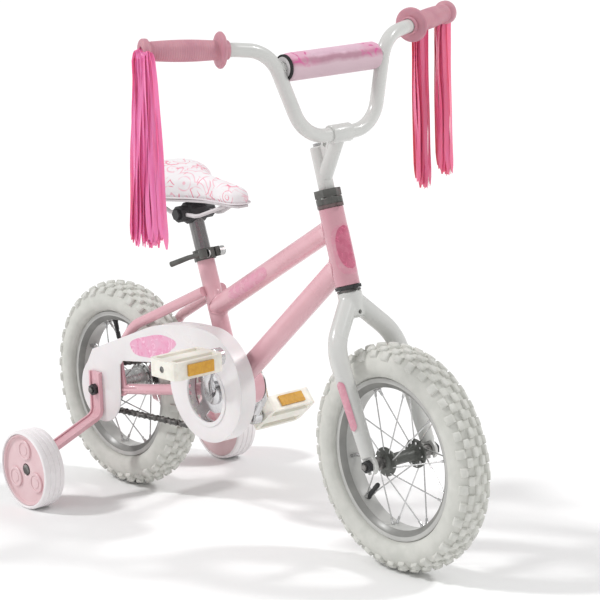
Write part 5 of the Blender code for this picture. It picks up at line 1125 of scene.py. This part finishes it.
# Bar pad
padSizes = {"radius": 0.0195, "half": 0.0800, "foamOut": 0.0020, "foamRim": 0.0044, "slit": 0.0118,
            "coverInner": 0.0124, "coverIn": 0.0006, "seamTurn": math.radians(30), "crease": 0.0011,
            "pucker": 0.00035, "draw": 0.0009}
# The lower and seam colours are painted shade; the wash and dab colours are print
padShadeAndPrint = {"lower": (0.60, 0.445, 0.495), "seam": (0.42, 0.21, 0.275), "wash": (0.72, 0.16, 0.36),
            "dab": (0.62, 0.10, 0.30)}


def shadeAndPrintPad(material, place):
    # Painted shade: a soft dark band along the seam's crease and a greyer lower side; then printed dabs
    # near both ends
    tree = material.node_tree
    shader = tree.nodes["Principled BSDF"]
    colour = shader.inputs["Base Color"].links[0].from_socket
    vector = tree.nodes.new("ShaderNodeTexCoord").outputs["Object"]
    axes = tree.nodes.new("ShaderNodeSeparateXYZ")
    tree.links.new(vector, axes.inputs["Vector"])
    centre, seam = place.translation, padSizes["seamTurn"]
    turn = mathInto(tree, "ARCTAN2", mathInto(tree, "SUBTRACT", axes.outputs["Z"], centre.z),
                    mathInto(tree, "SUBTRACT", axes.outputs["X"], centre.x))
    wobble = groupNode(tree, groups["mottle"], vector, Scale=55.0)
    turn = mathInto(tree, "ADD", turn, mathInto(tree, "MULTIPLY", wobble, 0.16))
    # painted shade: the lower side is greyer, and it is darker along the seam's crease
    lower = rangeInto(tree, turn, seam, seam - 0.35, 0.0, 0.85)
    colour = blendColours(tree, lower, colour, padShadeAndPrint["lower"])
    away = mathInto(tree, "ABSOLUTE", mathInto(tree, "SUBTRACT", turn, seam), 0.0)
    colour = blendColours(tree, rangeInto(tree, away, 0.42, 0.10, 0.0, 0.9), colour, padShadeAndPrint["seam"])
    reach = mathInto(tree, "ABSOLUTE", axes.outputs["Y"], 0.0)
    reach = mathInto(tree, "ADD", reach, mathInto(tree, "MULTIPLY", wobble, 0.020))
    ends = rangeInto(tree, reach, 0.050, 0.066)
    dabs = groupNode(tree, groups["swirls"], vector, Scale=46.0, Rings=12.0)
    tint = mathInto(tree, "MULTIPLY", ends, rangeInto(tree, turn, seam - 0.5, seam))
    colour = blendColours(tree, mathInto(tree, "MULTIPLY", tint, 0.35), colour, padShadeAndPrint["wash"])
    colour = blendColours(tree, mathInto(tree, "MULTIPLY", dabs, tint), colour, padShadeAndPrint["dab"])
    tree.links.new(colour, shader.inputs["Base Color"])


def makePadFoam(place):
    radius, half, slit = padSizes["radius"], padSizes["half"], padSizes["slit"]
    core, ends = crossbarSizes["radius"] + gap, half + padSizes["foamOut"]
    profile = [(core, -ends), (radius - 0.0050, -ends), (radius - 0.0024, -ends),
               (radius - 0.0019, -ends + 0.0006), (radius - 0.0019, -half + 0.0012),
               (slit, -half + 0.0012), (slit, half), (core, half)]
    foamPiece = turned("pad_foam_look", ["foam", "foamPale"], profile, 48, place)
    inverse = place.inverted()
    for face in foamPiece.data.polygons:
        local = inverse @ face.center
        if math.hypot(local.x, local.z) < radius - padSizes["foamRim"]:
            face.material_index = 1  # the cut end is pale inside its black rim
    cutBar(foamPiece, 0.0002)
    dressed(foamPiece, "steering", "foam", "pad_foam")


def makePad():
    place = steering @ Matrix.Translation((crossbarReach, 0, crossbarRise))
    makePadFoam(place)
    inner, outer = padSizes["coverInner"], padSizes["radius"] - padSizes["coverIn"]
    low, rings = padSizes["half"] - 0.0012, 40
    profile = [(inner, -low), (outer - 0.0012, -low), (outer, -low + 0.0014)]
    profile += [(outer, low * (2 * k / rings - 1)) for k in range(1, rings)]
    profile += [(outer, low - 0.0014), (outer - 0.0012, low), (inner, low)]
    cover = turned("pad_cover_look", ["padFabric"], profile, 64, place)
    puffed(cover, 0.0030, 0.0016)
    shadeAndPrintPad(looks["padFabric"], place)
    inverse = place.inverted()
    for vert in cover.data.vertices:
        local = inverse @ vert.co
        away = math.atan2(local.z, local.x) - padSizes["seamTurn"]
        crease = padSizes["crease"] * math.exp(-(away / 0.16) ** 2)
        pucker = padSizes["pucker"] * math.sin(local.y * 420) * math.exp(-(away / 0.60) ** 2)
        draw = padSizes["draw"] * math.exp(-((padSizes["half"] - abs(local.y)) / 0.0040) ** 2)
        radial = Vector((local.x, 0, local.z)).normalized()
        vert.co = place @ (local - radial * (crease - pucker + draw))
    cutBar(cover, 0.0002)
    dressed(cover, "steering", "pad_fabric", "pad_cover")


# Frame
frameSizes = {"topTube": 0.0143, "downTube": 0.0159, "shell": 0.0280, "shellHalf": 0.0310,
              "shellBore": 0.0256, "topHeadDrop": 0.0252, "downHeadRise": 0.0308, "topSeatRise": 0.1180,
              "downFootRise": 0.0060, "chainStay": 0.0080, "seatStay": 0.0075, "bridgeAhead": 0.1880,
              "bridge": 0.0060, "lugRise": 0.0830, "lug": 0.0040, "dropout": (0.0475, 0.0515)}
stayReach = shellPlace.x - rearAxle.x
# Places ahead of the rear axle, and how far out the chain stays lie there
stayStations = ((0.0480, 0.0457), (0.1270, 0.0395), (stayReach - 0.0600, 0.0262), (stayReach, 0.0190))
seatTubeRadius = seatSizes["post"] + gap + seatSizes["tubeWall"]


def seatPoint(height):
    return seatFrame @ Vector((0, 0, height))


topHead = steering @ Vector((0, 0, headTop - frameSizes["topHeadDrop"]))
downHead = steering @ Vector((0, 0, headBase + frameSizes["downHeadRise"]))
topSeat = seatPoint(frameSizes["topSeatRise"])
downFoot = shellPlace + Vector((0, 0, frameSizes["downFootRise"]))


def chainStayPoint(ahead, side):
    offset = stayStations[-1][1]
    for (xa, ya), (xb, yb) in zip(stayStations, stayStations[1:]):
        if ahead <= xb:
            offset = ya + (yb - ya) * (ahead - xa) / (xb - xa)
            break
    low, first = rearAxle.z + 0.0060, stayStations[0][0]
    rise = (shellPlace.z - low) * (ahead - first) / (stayReach - first)
    return Vector((rearAxle.x + ahead, side * offset, low + rise))


def makeFrameTubes(pink):
    headRadius, half = headSizes["radius"], frameSizes["shellHalf"]
    body = turned("frame_look", pink, rod(headRadius, headBase, headTop, 0.0006), 56, upright)
    runs = [(topSeat, topHead, frameSizes["topTube"]), (downFoot, downHead, frameSizes["downTube"]),
            (seatPoint(0.0110), seatPoint(seatSizes["tube"]), seatTubeRadius)]
    tools = [swept("Tube", pink, spacedPath(start, stop, 0.02), (radius, radius), 40, sideways)
             for start, stop, radius in runs]
    shellSpot = Matrix.Translation(shellPlace)
    tools.append(turned("Shell", pink, rod(frameSizes["shell"], -half, half, 0.0006), 56, shellSpot))
    for side in (-1, 1):
        tools += rearEnd(side, pink)
    ahead, radius = frameSizes["bridgeAhead"], frameSizes["bridge"]
    bridge = chainStayPoint(ahead, 1)
    bridge.z = rearAxle.z + (shellPlace.z - rearAxle.z) * ahead / stayReach
    ends = [Vector((bridge.x, side * bridge.y, bridge.z)) for side in (-1, 1)]
    tools.append(swept("Bridge", pink, ends, (radius, radius), 24))
    lug, radius = seatPoint(frameSizes["lugRise"]), frameSizes["lug"]
    ends = [Vector((lug.x, -guardSizes["inner"] + gap, lug.z)), Vector((lug.x, 0, lug.z))]
    tools.append(swept("Lug", pink, ends, (radius, radius), 16))
    combined(body, tools, "UNION")
    bore = headRadius - headSizes["wall"]
    cutters = [turned("HeadBore", [], rod(bore, headBase - 0.001, headTop + 0.001), 48, upright)]
    profile = rod(frameSizes["shellBore"], -half - 0.001, half + 0.001)
    cutters.append(turned("ShellBore", [], profile, 48, shellSpot))
    bore, top = seatSizes["post"] + gap, seatSizes["tube"]
    ends = [seatPoint(top - 0.1150), seatPoint(top + 0.001)]
    cutters.append(swept("SeatBore", [], ends, (bore, bore), 40, sideways))
    return combined(body, cutters, "DIFFERENCE")


def makeFrameBody():
    pink = ["pink", "pinkShaded"]
    headRadius, shellRadius = headSizes["radius"], frameSizes["shell"]
    topTube, downTube = frameSizes["topTube"], frameSizes["downTube"]
    body = makeFrameTubes(pink)
    steer = (steering.to_3x3() @ Vector((0, 0, 1))).normalized()
    seatWay = (seatPoint(1) - seatPoint(0)).normalized()
    bm = bmesh.new()
    for start, stop, radius, axisPlace, axisWay, axisRadius in (
            (topHead, topSeat, topTube, topHead, steer, headRadius),
            (downHead, downFoot, downTube, downHead, steer, headRadius),
            (topSeat, topHead, topTube, topSeat, seatWay, seatTubeRadius),
            (downFoot, downHead, downTube, shellPlace, sideways, shellRadius),
            (shellPlace, seatPoint(0.1), seatTubeRadius, shellPlace, sideways, shellRadius)):
        beadInto(bm, start, (stop - start).normalized(), radius, axisPlace, axisWay, axisRadius)
    beads = makePiece("Beads", bm, pink)
    toHead = steering.inverted()
    for face in body.data.polygons:
        local = toHead @ face.center
        onHead = math.hypot(local.x, local.y) < headRadius + 0.0003
        if onHead and headBase - 0.001 < local.z < headTop + 0.001:
            face.material_index = 1  # painted shade: the head tube gets a darker copy of the pink
    body = joined("frame_look", [evenShading(body), beads])
    return dressed(body, "chassis", "pink_paint", "frame")


def rearEnd(side, pink):
    # A chain stay, a seat stay and the dropout that holds both
    corners = [chainStayPoint(ahead, side) for ahead, out in stayStations]
    top = seatPoint(0.1440) + Vector((0, side * 0.0165, 0))
    bend = rearAxle + Vector((0.0830, side * 0.0430, 0.1080))
    end = rearAxle + Vector((0.0410, side * 0.0457, 0.0600))
    made = []
    for path, radius in ((roundedPath(corners, [0.15, 0.15], 6), frameSizes["chainStay"]),
                         (roundedPath([end, bend, top], [0.05], 10), frameSizes["seatStay"])):
        made.append(swept("Stay", pink, path, (radius, radius), 28, sideways))
    low, high = sorted(side * out for out in frameSizes["dropout"])
    x, z = rearAxle.x, rearAxle.z
    points = circle(0.0170, 36, x, z)
    points += circle(0.0085, 20, x + 0.0480 + 0.0085, z + 0.0060)
    points += circle(0.0085, 20, end.x + 0.00425, end.z + 0.00425)
    dropout = bevelled(plated("Dropout", pink, hull(points), low, high), 0.0006)
    slot = slotOutline(x, z, wheelSizes["axle"] + 2 * gap, 0.0300, "back")
    combined(dropout, [plated("Slot", [], slot, low - 0.001, high + 0.001)], "DIFFERENCE")
    return made + [dropout]


def makeFrameMotifs():
    # Generic patches: one on the top tube, and a panel with a smaller patch on the head tube
    topTube, headTube = frameSizes["topTube"], headSizes["radius"]
    low, middle, high = (steering @ Vector((0, 0, rise))
                         for rise in (headBase + 0.0120, headBase + 0.0210, headTop - 0.0230))
    patches = [shellPatch("top_tube_motif", topSeat.lerp(topHead, 0.17), topSeat.lerp(topHead, 0.50),
                          (topTube, topTube), (-125, -50), "tubeDecal", 0.2),
               shellPatch("head_tube_panel", low, high, (headTube, headTube), (-72, 72),
                          "softDecal", 0.30),
               shellPatch("head_tube_motif", middle, high.lerp(middle, 0.05), (headTube, headTube),
                          (-54, 54), "decal", 0.45, 0.0005)]
    for patch in patches:
        dressed(patch, "chassis", "pink_paint")


# Chain
chainSizes = {"pitch": 0.0127, "links": 64, "ringTeeth": 28, "cogTeeth": 16, "line": 0.0400,
              "innerHalf": 0.0019, "plate": 0.0009, "plateGap": 0.0002, "roller": 0.0033,
              "linkEnd": 0.0041, "linkWaist": 0.0030}


def pitchRadius(teeth):
    return chainSizes["pitch"] / (2 * math.sin(math.pi / teeth))


def wheelPoint(centre, radius, turn):
    return centre + Vector((math.cos(turn), 0, math.sin(turn))) * radius


def chainPins():
    # Along the top run, round the chainring, along the lower run and round the sprocket
    ringTeeth, cogTeeth = chainSizes["ringTeeth"], chainSizes["cogTeeth"]
    big, small = pitchRadius(ringTeeth), pitchRadius(cogTeeth)
    run = shellPlace - rearAxle
    distance, slope = run.length, math.atan2(run.z, run.x)
    lean = math.asin((big - small) / distance)
    free = math.sqrt(distance ** 2 - (big - small) ** 2) / chainSizes["pitch"]
    topTurn, lowTurn = slope + lean + math.pi / 2, slope - lean - math.pi / 2
    onRing = (topTurn - lowTurn) / math.tau * ringTeeth
    pins = []
    for k in range(chainSizes["links"]):
        if k < free:
            start, stop = wheelPoint(rearAxle, small, topTurn), wheelPoint(shellPlace, big, topTurn)
            pins.append(start.lerp(stop, k / free))
        elif k < free + onRing:
            turn = topTurn - (k - free) / ringTeeth * math.tau
            pins.append(wheelPoint(shellPlace, big, turn))
        elif k < 2 * free + onRing:
            start, stop = wheelPoint(shellPlace, big, lowTurn), wheelPoint(rearAxle, small, lowTurn)
            pins.append(start.lerp(stop, (k - free - onRing) / free))
        else:
            turn = lowTurn - (k - 2 * free - onRing) / cogTeeth * math.tau
            pins.append(wheelPoint(rearAxle, small, turn))
    return pins


def linkOutline():
    # A figure of eight along X, from pin to pin
    turn, waist = math.radians(50), chainSizes["linkWaist"]
    right = arc(chainSizes["linkEnd"], turn - math.pi, math.pi - turn, 14, chainSizes["pitch"] / 2)
    left = [(-x, -z) for x, z in right]
    return right + [(0, waist)] + left + [(0, -waist)]


def makeLink(kind, near):
    # Two side plates, with rollers between the inner ones and pin heads on the outer ones
    innerHalf = chainSizes["innerHalf"]
    spots = [Matrix.Translation((pin * chainSizes["pitch"] / 2, 0, 0)) for pin in (-1, 1)]
    bm = bmesh.new()
    for side in (-1, 1):
        face = side * (near + chainSizes["plate"])
        low, high = sorted((side * near, face))
        plateInto(bm, linkOutline(), [], low, high)
        if kind == "outer":
            head = [(0, face), (0.0017, face), (0.0016, face + side * 0.0005), (0, face + side * 0.0007)]
            for spot in spots:
                turnInto(bm, head, 12, spot)
    if kind == "inner":
        for spot in spots:
            turnInto(bm, rod(chainSizes["roller"], -innerHalf, innerHalf), 16, spot)
    link = makePiece("Link", bm, ["dark"])
    return bevelled(link, 0.0002, 1) if kind == "outer" else link


def makeChain():
    pins = chainPins()
    places = {"inner": [], "outer": []}
    for k, start in enumerate(pins):
        along = pins[(k + 1) % len(pins)] - start
        turn = Matrix.Rotation(-math.atan2(along.z, along.x), 4, "Y")
        middle = start + along / 2 + Vector((0, -chainSizes["line"], 0))
        places["outer" if k % 2 else "inner"].append(Matrix.Translation(middle) @ turn)
    innerHalf = chainSizes["innerHalf"]
    outerHalf = innerHalf + chainSizes["plate"] + chainSizes["plateGap"]
    pieces = [repeated("Links", makeLink(kind, near), places[kind], "dark")
              for kind, near in (("inner", innerHalf), ("outer", outerHalf))]
    return dressed(joined("chain_look", pieces), "chassis", "dark_steel", "chain")


# Crank, in its own frame: X runs to the right pedal, Y across the bicycle
crankSizes = {"length": 0.0970, "angle": math.radians(47), "spread": 0.0840, "kneeReach": 0.0480,
              "kneeOut": 0.0760, "hipOut": 0.0450, "bend": 0.0150,
              "arm": (0.0062, 0.0075, 0.0075, 0.0075, 0.0075, 0.0062), "ringHalf": 0.0013,
              "journal": 0.0105, "shoulder": 0.0190, "pin": 0.0034, "pinReach": 0.0250, "eye": 0.0125,
              "eyeHalf": 0.0065, "thread": 0.0068}


def makeCrank():
    length, spread, hipOut = crankSizes["length"], crankSizes["spread"], crankSizes["hipOut"]
    kneeReach, kneeOut = crankSizes["kneeReach"], crankSizes["kneeOut"]
    place = Matrix.Translation(shellPlace) @ Matrix.Rotation(-crankSizes["angle"], 4, "Y")
    right = [Vector((length, -spread, 0)), Vector((kneeReach, -kneeOut, 0)), Vector((0, -hipOut, 0))]
    left = [Vector((-p.x, -p.y, 0)) for p in reversed(right)]
    path = roundedPath(right + left, [crankSizes["bend"]] * 4, 10)
    crank = swept("crank_look", ["chrome"], path, crankSizes["arm"], 28, place=place)
    line, half = chainSizes["line"], crankSizes["ringHalf"]
    ringLow, ringHigh = -line - half - gap, -line + half + gap
    cup = frameSizes["shellHalf"] + 0.0025 + 2 * gap
    hip = hipOut - crankSizes["arm"][2] + 0.001
    journal, shoulder = crankSizes["journal"], crankSizes["shoulder"]
    profile = [(0, ringLow - 0.0040), (0.0158, ringLow - 0.0040), (0.0170, ringLow - 0.0030),
               (0.0170, ringLow), (journal, ringLow), (journal, ringHigh), (shoulder, ringHigh),
               (shoulder, -cup), (journal, -cup), (journal, cup), (shoulder, cup),
               (shoulder, hip - 0.0008), (shoulder - 0.0008, hip), (0, hip)]
    reach = crankSizes["pinReach"]
    pin = rod(crankSizes["pin"], -hipOut - (kneeOut - hipOut) / kneeReach * reach, half - line)
    tools = [turned("Spindle", ["chrome"], profile, 48, place),
             turned("Pin", ["chrome"], pin, 24, place @ Matrix.Translation((reach, 0, 0)))]
    cutters = []
    for side in (-1, 1):
        low, high = sorted(side * (spread + way * crankSizes["eyeHalf"]) for way in (-1, 1))
        spot = place @ Matrix.Translation((-side * length, 0, 0))
        tools.append(turned("Eye", ["chrome"], rod(crankSizes["eye"], low, high, 0.0007), 40, spot))
        thread = rod(crankSizes["thread"], low - 0.004, high + 0.004)
        cutters.append(turned("Thread", [], thread, 32, spot))
    combined(crank, tools, "UNION")
    combined(crank, cutters, "DIFFERENCE")
    return dressed(crank, "crankset", "chrome", "crank")


# Chain guard
guardSizes = {"inner": 0.0540, "thickness": 0.0022, "disc": 0.0820, "discLift": 0.0125, "opening": 0.0400,
              "lobe": 0.0490, "lobeAhead": 0.0080, "armRise": 0.0520, "armSlope": math.radians(8),
              "topSlope": math.radians(21), "topStop": 0.1250, "axleHole": 0.0105, "skirt": 0.0240}
guardMotif = {"middle": (-0.1620, 0.2440), "long": 0.0560, "tall": 0.0165, "lean": math.radians(12)}
discX, discZ = shellPlace.x, shellPlace.z + guardSizes["discLift"]


def guardOutline():
    # The disc, the arm's top edge, then the lobe with the arm's lower edge
    discRadius, lobeRadius = guardSizes["disc"], guardSizes["lobe"]
    lobeX, lobeZ = rearAxle.x + guardSizes["lobeAhead"], rearAxle.z
    armX, armZ = lobeX + lobeRadius, rearAxle.z + guardSizes["armRise"]
    slope, topSlope = math.tan(guardSizes["armSlope"]), math.tan(guardSizes["topSlope"])
    notch = math.pi - math.asin((armZ + slope * (discX - discRadius - armX) - discZ) / discRadius)
    disc = arc(discRadius, notch, 2.5 * math.pi, 80, discX, discZ)
    lobeTurn = math.pi / 2 + guardSizes["topSlope"]
    lobeTop = (lobeX + lobeRadius * math.cos(lobeTurn), lobeZ + lobeRadius * math.sin(lobeTurn) + 0.0140)
    peak = discZ + discRadius + 0.0015
    knee = lobeTop[0] + (peak - lobeTop[1]) / topSlope
    start, control = Vector((discX, discZ + discRadius)), Vector((knee, peak))
    stopX = rearAxle.x + guardSizes["topStop"]
    stop = Vector((stopX, lobeTop[1] + (stopX - lobeTop[0]) * topSlope))
    top = []
    for k in range(1, 19):
        share = k / 18
        point = start.lerp(control, share).lerp(control.lerp(stop, share), share)
        top.append((point.x, point.y))
    lobe = arc(lobeRadius, lobeTurn + 0.35, math.tau, 48, lobeX, lobeZ)
    lower = [(armX + 0.0020, armZ - 0.0060), (armX + 0.0100, armZ + slope * 0.0100)]
    return disc, top, [lobeTop] + lobe + lower


def makeGuard():
    disc, top, rest = guardOutline()
    inner = guardSizes["inner"]
    outer = inner + guardSizes["thickness"]
    holes = [circle(guardSizes["opening"], 80, shellPlace.x, shellPlace.z),
             circle(guardSizes["axleHole"] + 2 * gap, 32, rearAxle.x, rearAxle.z)]
    body = plated("Guard", ["guard"], disc + top + rest, -outer, -inner, holes=holes)
    bevelled(body, 0.0009, 3, 50)
    ring = [(0.0403, 0.0003), (0.0465, 0.0003), (0.0465, -0.0010), (0.0459, -0.0015), (0.0412, -0.0015),
            (0.0403, -0.0009)]
    place = Matrix.Translation((shellPlace.x, -outer, shellPlace.z))
    collar = turned("Ring", ["guard"], ring, 96, place, 30)
    skirtStart = discX - guardSizes["disc"] * 0.27
    under = [p for p in disc if p[0] > skirtStart or p[1] > discZ + 0.05] + top
    outline = insetOutline(under, 0.0004) + insetOutline(under, 0.0022)[::-1]
    skirt = plated("Skirt", ["guard"], outline, -inner - 0.0010, -inner + guardSizes["skirt"], sharp=30)
    guard = joined("chain_guard_look", [body, collar, skirt])
    dressed(guard, "chassis", "guard_plastic", "chain_guard")
    makeGuardMotif(outer)


def makeGuardMotif(outer):
    # A generic wavy patch on the arm
    x, z = guardMotif["middle"]
    lean, steps = guardMotif["lean"], 64
    outline = []
    for k in range(steps):
        turn = math.tau * k / steps
        swell = 1 + 0.05 * math.sin(3 * turn) + 0.04 * math.cos(5 * turn)
        a = guardMotif["long"] * swell * math.cos(turn)
        b = guardMotif["tall"] * swell * math.sin(turn)
        outline.append((x + a * math.cos(lean) - b * math.sin(lean),
                        z + a * math.sin(lean) + b * math.cos(lean)))
    motif = plated("guard_motif", ["motif"], outline, -outer - 0.00025, -outer + 0.00025)
    dressed(motif, "chassis", "guard_plastic")


# Training wheels
trainerSizes = {"radius": 0.0590, "width": 0.0350, "outer": 0.1985, "tread": 0.0050, "grooves": 3,
                "lobes": 3, "lobeReach": 0.0300, "axleBore": 0.0054}


def sided(profile, side):
    return [(r, side * y) for r, y in profile]


def makeTrainer(label, side):
    radius, width, outer = trainerSizes["radius"], trainerSizes["width"], trainerSizes["outer"]
    inner, bore, grooves = outer - width, radius - trainerSizes["tread"], trainerSizes["grooves"]
    place = Matrix.Translation((rearAxle.x, 0, radius))
    profile = [(bore, inner + 0.0008), (bore + 0.0008, inner), (radius - 0.0030, inner),
               (radius - 0.0012, inner + 0.0010), (radius - 0.0002, inner + 0.0036)]
    for k in range(grooves):
        groove = inner + width * (k + 1) / (grooves + 1)
        profile += [(radius, groove - 0.0012), (radius - 0.0012, groove - 0.0006),
                    (radius - 0.0012, groove + 0.0006), (radius, groove + 0.0012)]
    profile += [(radius - 0.0002, outer - 0.0036), (radius - 0.0012, outer - 0.0010),
                (radius - 0.0030, outer), (bore + 0.0008, outer), (bore, outer - 0.0008)]
    tyre = turned("trainer_tyre_" + label + "_look", ["trainerTread"], sided(profile, side), 96,
                  place, 30)
    body = "trainer_wheel_" + label
    dressed(tyre, body, "trainer_tread", "trainer_tyre_" + label)
    makeTrainerHub(label, side, place, bore - gap)


def makeTrainerHub(label, side, place, rim):
    outer, bore, lobes = trainerSizes["outer"], trainerSizes["axleBore"], trainerSizes["lobes"]
    inner, face = outer - trainerSizes["width"], outer - 0.0060
    headSeat = face - 0.0040
    profile = [(bore, inner - 0.0100), (0.0140, inner - 0.0100), (0.0148, inner - 0.0090),
               (0.0182, inner + 0.0020), (rim - 0.0040, inner + 0.0020), (rim, inner + 0.0026),
               (rim, outer - 0.0026), (rim - 0.0006, outer - 0.0020), (rim - 0.0026, outer - 0.0020),
               (rim - 0.0040, face + 0.0006), (rim - 0.0050, face), (0.0096, face),
               (0.0092, face - 0.0004), (0.0092, headSeat), (bore, headSeat)]
    low, high = face - 0.0010, face + 0.0030
    lobe = [(0, low), (0.0150, low), (0.0150, high - 0.0008), (0.0142, high), (0.0118, high),
            (0.0112, high - 0.0012), (0.0078, high - 0.0012), (0.0072, high - 0.0002), (0, high - 0.0002)]
    bm = bmesh.new()
    turnInto(bm, sided(profile, side), 72, place)
    for x, z in arc(trainerSizes["lobeReach"], math.pi / 2, math.pi / 2 + math.tau, lobes)[:lobes]:
        turnInto(bm, sided(lobe, side), 48, place @ Matrix.Translation((x, 0, z)))
    hub = makePiece("trainer_hub_" + label + "_look", bm, ["trainerPink"], 30)
    dressed(hub, "trainer_wheel_" + label, "trainer_plastic", "trainer_hub_" + label)


# Saddle
saddleSizes = {"nose": 0.1200, "tail": 0.0840, "tailHalf": 0.0650, "noseHalf": 0.0205,
               "tailTall": 0.0560, "noseTall": 0.0380, "dip": 0.0060, "panRise": 0.0190, "pan": 0.0030,
               "shrink": 0.0022, "stations": 46, "piping": 0.0013, "pipingRise": 0.0030}


def saddleShape(share):
    # Half width, height and dip at a share of the length from the tail
    flare = min(1.0, max(0.0, (share - 0.16) / 0.50))
    flare = flare * flare * (3 - 2 * flare)
    half = saddleSizes["tailHalf"] + (saddleSizes["noseHalf"] - saddleSizes["tailHalf"]) * flare
    fall = min(1.0, share * 1.25)
    tall = saddleSizes["tailTall"] + (saddleSizes["noseTall"] - saddleSizes["tailTall"]) * fall
    tailRound = math.sqrt(max(0.0, 1 - max(0.0, 1 - share / 0.16) ** 2))
    noseRound = math.sqrt(max(0.0, 1 - max(0.0, (share - 0.90) / 0.10) ** 2))
    endRound = min(tailRound, noseRound)
    dip = saddleSizes["dip"] * share ** 2
    return half * (0.35 + 0.65 * endRound), tall * (0.62 + 0.38 * endRound), dip


def saddleRing(x, half, tall, dip, base):
    belly = base + tall * 0.36
    crown = tall - dip - saddleSizes["shrink"] - tall * 0.36
    ring = [Vector((x, half * 0.88, base + 0.0004))]
    for step in range(33):
        turn = math.pi * step / 32
        across, rise = math.cos(turn), math.sin(turn)
        wide = math.copysign(abs(across) ** 0.80, across)
        ring.append(Vector((x, half * wide, belly + crown * rise ** 0.80)))
    ring.append(Vector((x, -half * 0.88, base + 0.0004)))
    return ring


def makeSaddle():
    centre = seatPoint(seatSizes["tube"] + seatSizes["exposed"])
    base = centre.z + saddleSizes["panRise"] + saddleSizes["pan"] + gap
    shrink, stations, tail = saddleSizes["shrink"], saddleSizes["stations"], saddleSizes["tail"]
    length = saddleSizes["nose"] + tail
    rings, hem = [], []
    for k in range(stations + 1):
        share = 0.5 - 0.5 * math.cos(math.pi * k / stations)
        half, tall, dip = saddleShape(share)
        half -= shrink
        tall -= 0.0035 + 0.0040 * share
        x = centre.x - tail + shrink + share * (length - 2 * shrink)
        rings.append(saddleRing(x, half, tall, dip, base))
        hem.append((x, half * 0.90 + 0.0008))
    bm = bmesh.new()
    loftInto(bm, rings)
    cushion = makePiece("saddle_cushion_look", bm, ["vinyl"])
    puffed(cushion, 0.0045, 0.0030)
    top = base + 0.0004
    for vert in cushion.data.vertices:
        if vert.co.z < top:
            vert.co.z = top
    rise = base + saddleSizes["pipingRise"]
    loop = [Vector((x, y, rise)) for x, y in hem] + [Vector((x, -y, rise)) for x, y in reversed(hem)]
    bm = bmesh.new()
    closedSweepInto(bm, loop, saddleSizes["piping"])
    cushion = joined("saddle_cushion_look", [cushion, makePiece("Piping", bm, ["piping"])])
    cushion.data.shade_smooth()
    dressed(cushion, "seat", "saddle_vinyl", "saddle_cushion")


# CAD nodes that keep their shape: a finish and a softened edge
keptLooks = {
    "chrome": ("chainring",),
    "post": ("seatpost",),
    "panPale": ("saddle_pan",),
    "steel": ("qr_bolt", "brake_arm", "axle_washer", "stem_bolt"),
    "headset": ("headset_top", "seat_collar", "qr_lever"),
    "cup": ("cup_upper",),
    "dark": ("crown_race", "axle_front", "axle_rear", "sprocket", "bb_cup_left", "bb_cup_right",
             "trainer_bolt_right", "trainer_bolt_left", "pedal_axle_right", "pedal_axle_left"),
    "black": ("cup_lower", "nut_front_left", "nut_front_right", "nut_rear_left", "nut_rear_right",
              "saddle_clamp"),
    "pink": ("trainer_bracket_right", "trainer_bracket_left"),
    "pedal": ("pedal_right", "pedal_left"),
    "amber": ("reflector_right_front", "reflector_right_back", "reflector_left_front",
              "reflector_left_back"),
}
edgeWidths = {"pedal": 0.0014, "pink": 0.0006, "amber": 0.0006}


def dressKeptNodes():
    for finish, names in keptLooks.items():
        for name in names:
            node = nodes[name]
            for slot in node.material_slots:
                slot.material = looks[finish]
            addBevel(node, edgeWidths.get(finish, 0.0004), 2, 40)


# Floor and light
stageSettings = {"half": 40, "grey": 1.0, "strength": 0.66, "spread": math.radians(7),
                 "lights": (("SoftLeft", (-1.9, -2.2, 3.0), 1.36), ("SoftRight", (1.9, 2.2, 3.0), 1.00))}


def makeStage():
    bm = bmesh.new()
    bmesh.ops.create_grid(bm, x_segments=1, y_segments=1, size=stageSettings["half"])
    makePiece("Floor", bm, ["floor"])
    world = bpy.data.worlds.new("World")
    scene.world = world
    world.use_nodes = True
    background = world.node_tree.nodes["Background"]
    background.inputs["Color"].default_value = [stageSettings["grey"]] * 3 + [1.0]
    background.inputs["Strength"].default_value = stageSettings["strength"]
    for name, place, power in stageSettings["lights"]:
        light = bpy.data.lights.new(name, "SUN")
        light.angle = stageSettings["spread"]
        light.energy = power
        item = bpy.data.objects.new(name, light)
        item.location = place
        item.rotation_euler = (-Vector(place)).to_track_quat("-Z", "Y").to_euler()
        scene.collection.objects.link(item)
    scene.view_settings.view_transform = "Standard"


makeCamera()
repeatGroup = makeRepeatGroup()
groups = {"mottle": makeMottle(), "grain": makeGrain(), "weave": makeWeave(), "wear": makeWear(),
          "swirls": makeSwirls()}
looks = {key: makeLook(name, base, shade, rough, **extra)
         for key, (name, base, shade, rough, extra) in finishTable.items()}
makeStage()
print("stage and looks")
for wheelEnd, wheelCentre in (("front", frontAxle), ("rear", rearAxle)):
    makeTyre(wheelEnd, wheelCentre)
    makeRim(wheelEnd, wheelCentre)
    makeSpokedHub(wheelEnd, wheelCentre)
    makeValve(wheelEnd, wheelCentre)
print("wheels")
makeFork()
makeForkMotifs()
makeHandlebar()
print("fork and handlebar")
makePad()
for gripLabel, gripSide in (("right", -1), ("left", 1)):
    makeGrip(gripLabel, gripSide)
    makeStreamer(gripLabel, gripSide)
print("pad, grips and streamers")
makeFrameBody()
makeFrameMotifs()
print("frame")
makeChain()
makeCrank()
makeGuard()
print("drive")
for trainerLabel, trainerSide in (("right", -1), ("left", 1)):
    makeTrainer(trainerLabel, trainerSide)
makeSaddle()
dressKeptNodes()
print("trainers, saddle and kept nodes")
